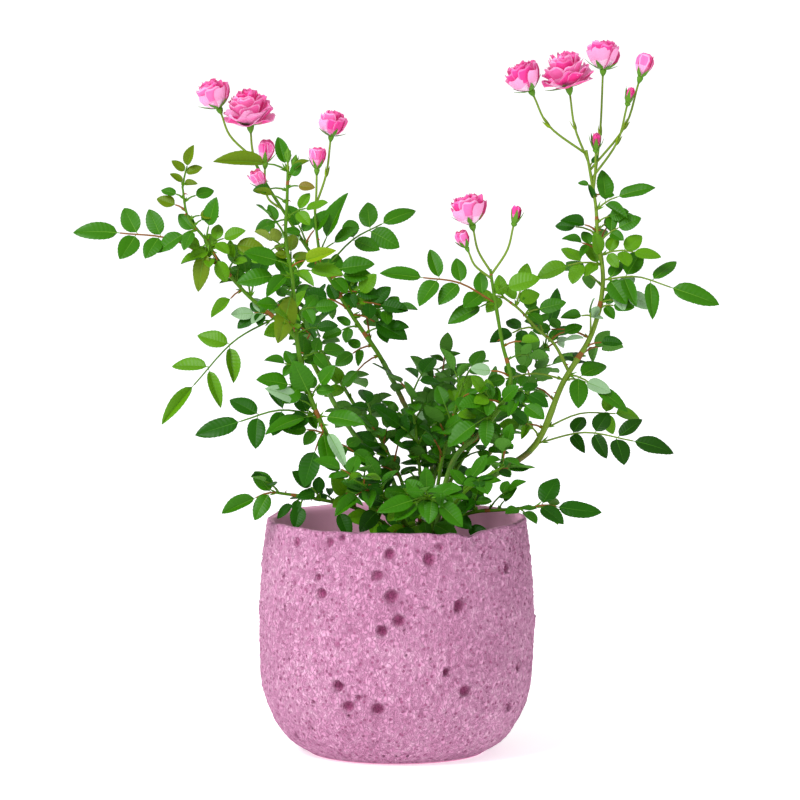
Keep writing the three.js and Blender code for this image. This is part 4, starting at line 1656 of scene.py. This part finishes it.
    def hip(self, foot: Vector, axis: Vector, kind: Bloom, diameter: float) -> None:
        """Lays a flower's hip and its five sepals.

        Args:
            foot: the hip's foot.
            axis: the flower's axis.
            kind: how far it has opened.
            diameter: its diameter.
        """
        small = kind in (Bloom.SMALL_BUD, Bloom.GREEN_BUD)
        opening = kind.value
        wide = opening.hip_width * diameter
        tall = opening.neck * diameter
        profile = [(0.6, 0), (wide * 0.8, tall * 0.4), (wide, tall * 0.75), (wide * 0.8, tall)]
        if kind is Bloom.GREEN_BUD:
            closed = ((0.46, 0.85), (0.3, 1.35), (0.04, 1.8))
            profile[2:] = [(across * diameter, up * diameter) for across, up in closed]
        points, faces = lathe(profile, foot, axis, 9)
        self.twigs.add(points, faces, [Wood.HIP.value])
        spin = self.free.between(0, 72)
        length = opening.sepal_length * diameter
        width = 0.4 * diameter if small else max(0.2 * diameter, 2.8)
        for index in range(5):
            out = around(axis, math.radians(spin + 72 * index))
            tip = math.radians(opening.sepal_lean + self.free.between(-12, 14))
            heading = axis * math.cos(tip) + out * math.sin(tip)
            root = foot + axis * (tall * 0.9) + out * (wide * 0.7)
            facing = axis * math.sin(tip) - out * math.cos(tip)
            size = (length * self.free.between(0.85, 1.2), width)
            self.foliage.strap(root, heading, facing, size, Wood.HIP.value)


F = CANE_FOOT
CANES = (
    Cane(
        bough="right_cane", bough_to=1.9, radii=(2.1, 0.8), wood=Wood.BRIGHT,
        points=(
            (23.5, 1, F), (48, 4, 148), (76, 10, 168), (92, 14, 203), (108, 18, 230),
            (114, 20, 258), (111, 22, 284), (110, 24, 300), (104.5, 20, 331),
        ),
        masses=(
            Mass(
                "right_lower_leaves", 4, fine=2, fine_size=11,
                leaves=(
                    (2.05, 3, -12, 54, 3, 25), (2.3, 10, 18, 42, 1, 17),
                    (3.15, -22, -15, 16, 1, 25), (3.05, 178, -10, 33, 2, 13),
                    (2.15, 130, -20, 12, 0, 13), (3.9, 168, 10, 22, 1, 12),
                    (2.7, 150, 45, 20, 1, 16), (3.5, 20, 45, 20, 1, 17),
                ),
                more=(
                    (2.3, 170, -10, 14, 1, 13), (3.05, -5, -15, 12, 0, 16),
                    (3.7, 20, -15, 10, 0, 13),
                ),
                branches=(
                    Branch(
                        3.2,
                        ((86.6, 10, 225), (77.8, 6, 233), (67.4, 3, 244.5), (59, 2, 251)),
                        leaves=(
                            (1.2, 30, 15, 9, 0, 12), (1.7, 110, 20, 10, 1, 10),
                            (2.1, 190, -20, 14, 1, 15), (2.7, 25, -10, 8, 1, 17),
                            (3.2, 75, 10, 9, 1, 17), (3.93, 165, -15, 6, 1, 16),
                        ),
                    ),
                ),
            ),
            Mass(
                "right_upper_leaves", 6.9,
                leaves=(
                    (4.5, 12, -20, 8, 1, 13), (5.05, -5, -15, 38, 3, 30),
                    (5.35, 180, -8, 19, 2, 20), (5.55, 8, -20, 19, 2, 17), (6, 160, 10, 13, 0, 13),
                    (6.15, 25, 30, 14, 1, 13), (6.85, 34, -10, 14, 1, 23),
                    (4.9, 150, 50, 22, 1, 17), (5.75, 60, 55, 20, 1, 16),
                ),
                more=(
                    (4.3, 170, -15, 9, 0, 13), (4.6, 10, -10, 8, 0, 16),
                    (4.85, -10, -10, 14, 1, 17), (5.3, 100, -20, 8, 0, 15),
                    (5.6, 150, -15, 12, 1, 13), (5.8, 40, -10, 14, 1, 15),
                    (6.1, 150, -10, 8, 0, 15), (6.4, 30, -10, 8, 0, 12),
                ),
            ),
            Mass(
                "right_truss", 8,
                leaves=((7.2, 10, 0, 4, 0, 8),),
                more=((7.05, 110, -10, 3, 0, 9), (7.35, 150, 10, 3, 0, 7), (7.7, 60, 0, 3, 0, 6)),
                blooms=(
                    (Bloom.CUP, 7.92, 69, 12, 371, 18.5), (Bloom.OPEN, 7.8, 92.7, 16, 375.5, 26),
                    (Bloom.CUP, 7.3, 114.7, 38, 382.5, 18), (Bloom.BUD, 7.65, 137, 32, 377, 11.5),
                    (Bloom.SMALL_BUD, 7.5, 129, 26, 361.5, 6.5),
                    (Bloom.SMALL_BUD, 7.3, 109.7, 12, 337, 7),
                ),
            ),
        ),
    ),
    Cane(
        bough="centre_cane", bough_to=1.9, radii=(1.6, 0.8),
        points=(
            (20.3, -5.6, F), (32, -12, 164), (48, -18, 181), (62, -22, 205), (57.5, -25, 229),
            (52, -26, 262), (51, -26, 269),
        ),
        masses=(
            Mass(
                "centre_leaves", 4.8,
                leaves=(
                    (2.3, 200, -15, 10, 1, 22), (2.75, -20, -40, 14, 1, 15),
                    (3.2, 160, -20, 12, 0, 13), (3.6, 10, 30, 14, 1, 13), (3.9, 20, -30, 12, 0, 12),
                    (4.6, 160, -5, 42, 3, 25),
                ),
                more=(
                    (4.75, 30, -10, 8, 0, 20), (4.6, 190, -15, 8, 0, 22),
                    (2.9, -10, -25, 12, 1, 14), (2.6, 170, -25, 12, 1, 15),
                    (2.2, 60, -20, 14, 1, 14), (2.4, 120, -20, 14, 1, 14),
                ),
            ),
            Mass(
                "centre_truss", 6,
                blooms=(
                    (Bloom.CUP, 5.8, 38.2, -26, 301, 18.5), (Bloom.BUD, 5.2, 35, -32, 285, 8.5),
                    (Bloom.SMALL_BUD, 5.5, 65.7, -22, 299, 7),
                ),
            ),
        ),
    ),
    Cane(
        bough="left_front_cane", bough_to=2, radii=(1.7, 0.8),
        points=(
            (8.2, -5.4, F), (-13, -22, 143), (-34, -34, 172), (-48.7, -42, 207), (-55, -46, 241),
            (-56, -48, 265), (-59.7, -48, 287), (-59, -46, 308), (-58.6, -44, 324),
        ),
        masses=(
            Mass(
                "left_lower_leaves", 3.9, fine=2,
                leaves=(
                    (2.55, 184, -10, 42, 3, 27), (2.4, -50, -30, 6, 0, 24),
                    (2.3, 245, -15, 12, 0, 22), (2.85, 150, -25, 14, 1, 20),
                    (3.4, 20, 25, 14, 1, 15),
                ),
                more=(
                    (2.6, 110, -20, 12, 0, 22), (2.6, 140, -30, 12, 0, 25),
                    (2.5, 172, -35, 8, 0, 29), (2.5, 15, -40, 5, 0, 27), (2.45, -75, -20, 7, 0, 21),
                    (2.8, 60, -20, 10, 1, 15), (3.2, 150, -20, 12, 1, 13),
                    (2.2, 160, -15, 12, 1, 15), (2.1, -20, -20, 14, 1, 15),
                ),
            ),
            Mass(
                "left_middle_leaves", 6.1, fine=2, season=Season.YOUNG,
                leaves=(
                    (4.85, 255, -12, 4, 0, 29), (5.05, 172, -10, 10, 1, 22),
                    (5.15, 12, -15, 10, 1, 20), (5.65, 140, 30, 12, 1, 14),
                    (4.3, 160, -25, 10, 0, 13),
                ),
                more=(
                    (5.3, 150, -20, 8, 0, 21), (5.3, 28, -20, 9, 0, 20), (4.2, 20, -10, 12, 1, 14),
                    (4.6, 200, 20, 10, 1, 13), (5.85, 200, 10, 10, 0, 13),
                ),
            ),
            Mass(
                "left_top_leaves", 8, season=Season.YOUNG,
                leaves=(
                    (7.95, 158, -15, 12, 0, 31), (7.9, 105, 10, 5, 0, 17),
                    (6.5, 30, -20, 13, 1, 14), (7.3, 175, 15, 10, 0, 11),
                ),
                more=(
                    (7.6, 60, -10, 4, 0, 10), (6.9, 150, 10, 9, 0, 12), (7.4, 10, -10, 6, 0, 10),
                    (7.85, 40, -10, 4, 0, 11),
                ),
                blooms=(
                    (Bloom.GREEN_BUD, 7.92, -58.6, -44, 333, 4.5),
                    (Bloom.GREEN_BUD, 7.7, -54, -42, 329, 4.2),
                ),
            ),
        ),
    ),
    Cane(
        bough="left_long_cane", bough_to=2.6, radii=(1.7, 0.6),
        points=(
            (6.6, 1.8, F), (-9, 8, 154), (-30, 12, 184), (-54, 12, 226), (-82.8, 6, 253),
            (-98, 0, 272), (-105, -4, 284), (-114, -6, 296), (-117, -8, 313),
        ),
        masses=(
            Mass(
                "left_reaching_leaves", 5, fine=2,
                leaves=(
                    (3.45, 219, -12, 58, 2, 30), (4.75, 161, -5, 60, 2, 27),
                    (3.9, 100, 20, 14, 1, 15), (2.9, 60, 35, 15, 1, 17), (4.3, 80, 50, 18, 1, 17),
                ),
                more=(
                    (3.5, 170, -15, 10, 1, 14), (3.9, 75, -15, 12, 0, 20),
                    (3.6, 200, -20, 8, 1, 12), (3.3, 60, -15, 12, 1, 13), (4.1, 215, -10, 8, 0, 16),
                    (3.1, 20, -15, 14, 1, 13), (4.6, 60, -10, 12, 1, 14),
                ),
            ),
            Mass(
                "left_tip_leaves", 8, season=Season.YOUNG,
                leaves=(
                    (5.8, 255, -10, 4, 0, 25), (5.6, 32, -10, 9, 1, 14), (6.4, 195, -10, 8, 1, 19),
                    (6.9, 20, 10, 6, 0, 12), (7.2, 150, 10, 7, 0, 12), (7.5, 30, 10, 7, 0, 12),
                    (7.95, 78, 0, 12, 2, 13),
                ),
                more=(
                    (5.3, 150, -15, 8, 1, 16), (5.9, 80, -10, 8, 0, 18), (5.5, 10, -10, 14, 0, 18),
                    (6.6, 40, 10, 5, 0, 10), (7.6, 150, 10, 5, 0, 10), (5.4, 300, -15, 6, 0, 14),
                ),
            ),
        ),
    ),
    Cane(
        bough="bloom_cane", bough_to=2.9, radii=(1.7, 0.75),
        points=(
            (12.8, 7.6, F), (15.7, 14, 164), (3, 20, 193), (-9, 24, 216), (-23.4, 28, 237),
            (-37, 30, 259), (-48, 30, 274), (-60.8, 28, 294), (-73, 24, 314), (-80, 24, 328),
        ),
        masses=(
            Mass(
                "bloom_cane_leaves", 6.4, fine=2,
                leaves=(
                    (3.05, 215, -10, 15, 0, 13), (3.4, 100, 40, 20, 1, 16), (4, 15, -15, 24, 2, 14),
                    (4.5, 200, 40, 18, 1, 16), (5, 15, -10, 7, 1, 18), (5.3, 38, 15, 42, 2, 24),
                    (5.6, 72, -12, 14, 0, 31),
                ),
                more=(
                    (5.2, 20, -10, 8, 0, 21), (5.7, 45, -10, 14, 0, 18), (6.1, 110, -10, 14, 1, 14),
                    (6.2, 60, -15, 10, 0, 16), (4.6, 10, -15, 10, 1, 15),
                    (4.1, -15, -20, 14, 0, 22), (3.6, 20, -15, 14, 1, 13),
                    (3.3, 200, -15, 12, 1, 13), (3.8, 190, -15, 10, 1, 13),
                    (4.2, 150, -10, 14, 1, 14), (4.2, 60, -10, 12, 1, 15), (4.3, 5, -20, 20, 1, 17),
                ),
                branches=(
                    Branch(
                        5.4,
                        ((-44, 25, 284), (-45.4, 24, 301)),
                        blooms=(
                            (Bloom.CUP, 1.85, -35, 22, 345.5, 15.5),
                            (Bloom.BUD, 1.7, -43.7, 22, 326.5, 10.5),
                        ),
                    ),
                ),
            ),
            Mass(
                "left_truss", 9,
                leaves=((6.9, 190, -20, 8, 0, 13),),
                blooms=(
                    (Bloom.CUP, 8.9, -102, 20, 361, 18), (Bloom.OPEN, 8.7, -82.2, 20, 354.5, 26),
                    (Bloom.BUD, 8, -70, 30, 328, 11), (Bloom.BUD, 7.2, -79, 18, 311, 9.5),
                ),
            ),
        ),
    ),
    Cane(
        radii=(1.2, 0.8),
        points=((24, -3.8, F), (38, -14, 133), (60, -24, 137), (76, -29, 139)),
        masses=(
            Mass(
                "low_right_leaves", 3, fine=3,
                leaves=(
                    (1.3, 120, -25, 8, 1, 14), (1.8, 60, -15, 6, 0, 12), (2.95, 2, -5, 12, 1, 26),
                ),
                more=(
                    (0.5, 60, -40, 12, 1, 17), (0.7, -20, -40, 9, 0, 17),
                    (0.9, 140, -30, 12, 1, 16), (1.2, 80, -30, 12, 1, 15),
                ),
            ),
        ),
    ),
    Cane(
        radii=(1.2, 0.8),
        points=((4.9, -2.2, F), (-20, -17, 136), (-44, -24, 143), (-66, -29, 147)),
        masses=(
            Mass(
                "low_left_leaves", 3, fine=3,
                leaves=(
                    (1.3, 60, -20, 8, 1, 14), (1.9, 125, -15, 9, 1, 15), (2.3, 250, -30, 6, 0, 14),
                    (2.95, 192, -5, 12, 1, 22),
                ),
                more=(
                    (0.4, 150, -40, 14, 1, 18), (0.6, 80, -40, 12, 1, 17),
                    (0.8, -40, -40, 9, 0, 17), (1.1, 120, -30, 12, 1, 16),
                    (1.6, -60, -30, 7, 0, 17),
                ),
            ),
        ),
    ),
    Cane(
        radii=(1.2, 0.8),
        points=((14.5, -9, F), (12, -32, 141), (14, -54, 147), (18, -64, 148)),
        masses=(
            Mass(
                "front_rim_leaves", 3, fine=4,
                leaves=(
                    (1.4, 150, -30, 9, 1, 15), (1.9, 30, -30, 10, 1, 18), (2.6, 200, -40, 8, 1, 18),
                    (2.95, -25, -30, 7, 1, 19),
                ),
                more=(
                    (0.4, 190, -40, 10, 1, 19), (0.5, -10, -40, 10, 1, 18),
                    (0.8, 160, -50, 10, 1, 19), (0.9, 20, -50, 10, 1, 18),
                    (1.2, 100, -40, 9, 1, 18), (1.5, 200, -40, 9, 1, 17), (2.9, 180, -30, 9, 0, 24),
                ),
            ),
        ),
    ),
    Cane(
        bough="back_left_cane", bough_to=1.4, radii=(1.5, 0.7),
        points=((9.2, 5.8, F), (-8, 34, 160), (-30, 62, 196), (-50, 82, 226), (-60, 94, 246)),
        masses=(
            Mass(
                "back_left_leaves", 4, seeded=6, size=20, fine=6,
                more=(
                    (1.45, 60, 40, 12, 1, 18), (1.6, 200, 60, 12, 1, 18),
                    (1.8, 120, -20, 12, 1, 16), (2.1, 0, 60, 14, 1, 18), (2.6, 100, 50, 12, 1, 17),
                    (3.1, 180, -30, 12, 1, 16),
                ),
            ),
        ),
    ),
    Cane(
        bough="back_centre_cane", bough_to=1.2, radii=(1.5, 0.7),
        points=((17.3, 8.2, F), (20, 42, 156), (24, 68, 182), (26, 86, 200)),
        masses=(
            Mass(
                "back_centre_leaves", 3, seeded=4, size=19, fine=5,
                more=(
                    (1.25, 20, 40, 12, 1, 18), (1.35, 160, 40, 12, 1, 18),
                    (1.6, 90, -30, 12, 1, 16), (1.8, -10, 60, 12, 1, 17), (2.2, 190, 50, 12, 1, 17),
                ),
            ),
        ),
    ),
    Cane(
        bough="back_right_cane", bough_to=1.3, radii=(1.5, 0.7),
        points=((21.5, 5.6, F), (50, 38, 158), (72, 64, 188), (84, 82, 216)),
        masses=(
            Mass(
                "back_right_leaves", 3, seeded=5, size=20, fine=3,
                more=(
                    (1.35, 150, 40, 12, 1, 17), (1.5, 10, 60, 12, 1, 17), (1.7, 100, 60, 12, 1, 16),
                ),
            ),
        ),
    ),
    Cane(
        radii=(1.3, 0.7),
        points=((17.6, -9.6, F), (38, -44, 150), (58, -64, 166)),
        masses=(Mass("front_right_leaves", 2, seeded=4, size=17, fine=4),),
    ),
    Cane(
        radii=(1.3, 0.7),
        points=((11.3, -9.8, F), (-8, -50, 148), (-24, -70, 160)),
        masses=(
            Mass(
                "front_left_leaves", 2, seeded=4, size=18, fine=4,
                more=(
                    (0.3, 200, -40, 10, 1, 19), (0.5, 120, -50, 12, 1, 18),
                    (0.6, 20, -50, 10, 1, 18), (0.8, 210, -40, 10, 1, 17),
                    (1.0, 80, -50, 10, 1, 16),
                ),
            ),
        ),
    ),
)

# Short leafy shoots in the heart of the bush: foot x and y, tip x, y and z.
HEART_SHOOTS = (
    (15, 1.2, 8, 6, 198),
    (19, -1.5, 36, -10, 204),
    (19, 2.6, 54, 12, 186),
    (15.6, 3.6, 34, 24, 192),
    (11.3, 1.5, -14, 4, 182),
)


def heart_cane(index: int) -> Cane:
    """Makes one of the short shoots in the heart of the bush.

    Args:
        index: its number, from 0.

    Returns:
        The cane.
    """
    x, y, tip_x, tip_y, tip_z = HEART_SHOOTS[index]
    middle = (x + (tip_x - x) * 0.35, y + (tip_y - y) * 0.35, F + (tip_z - F) * 0.5)
    name = f"heart_leaves_{index + 1}"
    mass = Mass(name, 2, seeded=4, size=19, fine=6, fine_size=15, season=Season.SHADED)
    points = ((x, y, F), middle, (tip_x, tip_y, tip_z))
    return Cane(points=points, radii=(1.3, 0.7), masses=(mass,))


# ---- Studio ----


@dataclass
class Studio:
    """A pale floor, soft light from the upper left and the camera."""

    lens: float = 245.5
    distance: float = 3.0
    elevation: float = 6.0
    sensor: float = 36.0
    reach: float = 50.0
    aim: Point = (0.0019, 0.0, 0.1947)
    world: float = 0.64
    # Each light's place and side in metres and its power in watts.
    key: tuple[Point, float, float] = ((-1.3, -1.5, 1.9), 1.1, 64.0)
    fill: tuple[Point, float, float] = ((1.6, -1.4, 0.7), 1.4, 4.0)
    floor_side: float = 44.0
    floor_border: float = 2.0
    floor_glow: float = 0.56

    def build(self) -> None:
        """Sets the floor, the light and the camera."""
        self.floor()
        self.light("key_light", *self.key)
        self.light("fill_light", *self.fill)
        backdrop = bpy.data.worlds.new("studio")
        backdrop.use_nodes = True
        air = backdrop.node_tree.nodes["Background"]
        air.inputs["Color"].default_value = (1, 1, 1, 1)
        air.inputs["Strength"].default_value = self.world
        bpy.context.scene.world = backdrop
        bpy.context.scene.view_settings.view_transform = "Standard"
        self.camera()

    def floor(self) -> None:
        """Lays a wide pale floor that reaches past the camera's view and glows a little."""
        deselect()
        bpy.ops.mesh.primitive_plane_add(size=self.floor_side, location=(0, 0, 0))
        floor = bpy.context.object
        floor.name = "floor"
        bpy.ops.object.mode_set(mode="EDIT")
        bpy.ops.mesh.inset(thickness=self.floor_border)
        bpy.ops.object.mode_set(mode="OBJECT")
        white = PlainFinish("floor_white", (246, 246, 246), 0.9, glow=self.floor_glow)
        floor.data.materials.append(white.material())
        floor.select_set(False)

    def light(self, name: str, place: Point, size: float, energy: float) -> None:
        """Hangs a square soft light that looks at the bush.

        Args:
            name: the light's name.
            place: where it hangs, in metres.
            size: its side in metres.
            energy: its power in watts.
        """
        lamp = bpy.data.lights.new(name, "AREA")
        lamp.size = size
        lamp.energy = energy
        made = bpy.data.objects.new(name, lamp)
        made.location = place
        ahead = Vector(self.aim) - Vector(place)
        made.rotation_euler = ahead.to_track_quat("-Z", "Y").to_euler()
        bpy.context.scene.collection.objects.link(made)

    def camera(self) -> None:
        """Sets the camera in front, a little above the pot's rim."""
        lens = bpy.data.cameras.new("camera")
        lens.lens = self.lens
        lens.sensor_width = self.sensor
        lens.clip_end = self.reach
        made = bpy.data.objects.new("camera", lens)
        rise = math.radians(self.elevation)
        back = Vector((0, -math.cos(rise), math.sin(rise)))
        made.location = Vector(self.aim) + back * self.distance
        made.rotation_euler = (math.radians(90 - self.elevation), 0, 0)
        bpy.context.scene.collection.objects.link(made)
        bpy.context.scene.camera = made


def main() -> None:
    """Builds the pot, the ground, every cane and the studio in order."""
    logging.basicConfig(level=logging.INFO, format="%(name)s: %(message)s")
    Pot().build()
    Ground().build()
    for cane in (*CANES, *(heart_cane(index) for index in range(len(HEART_SHOOTS)))):
        cane.build()
    Studio().build()


if __name__ == "__main__":
    main()
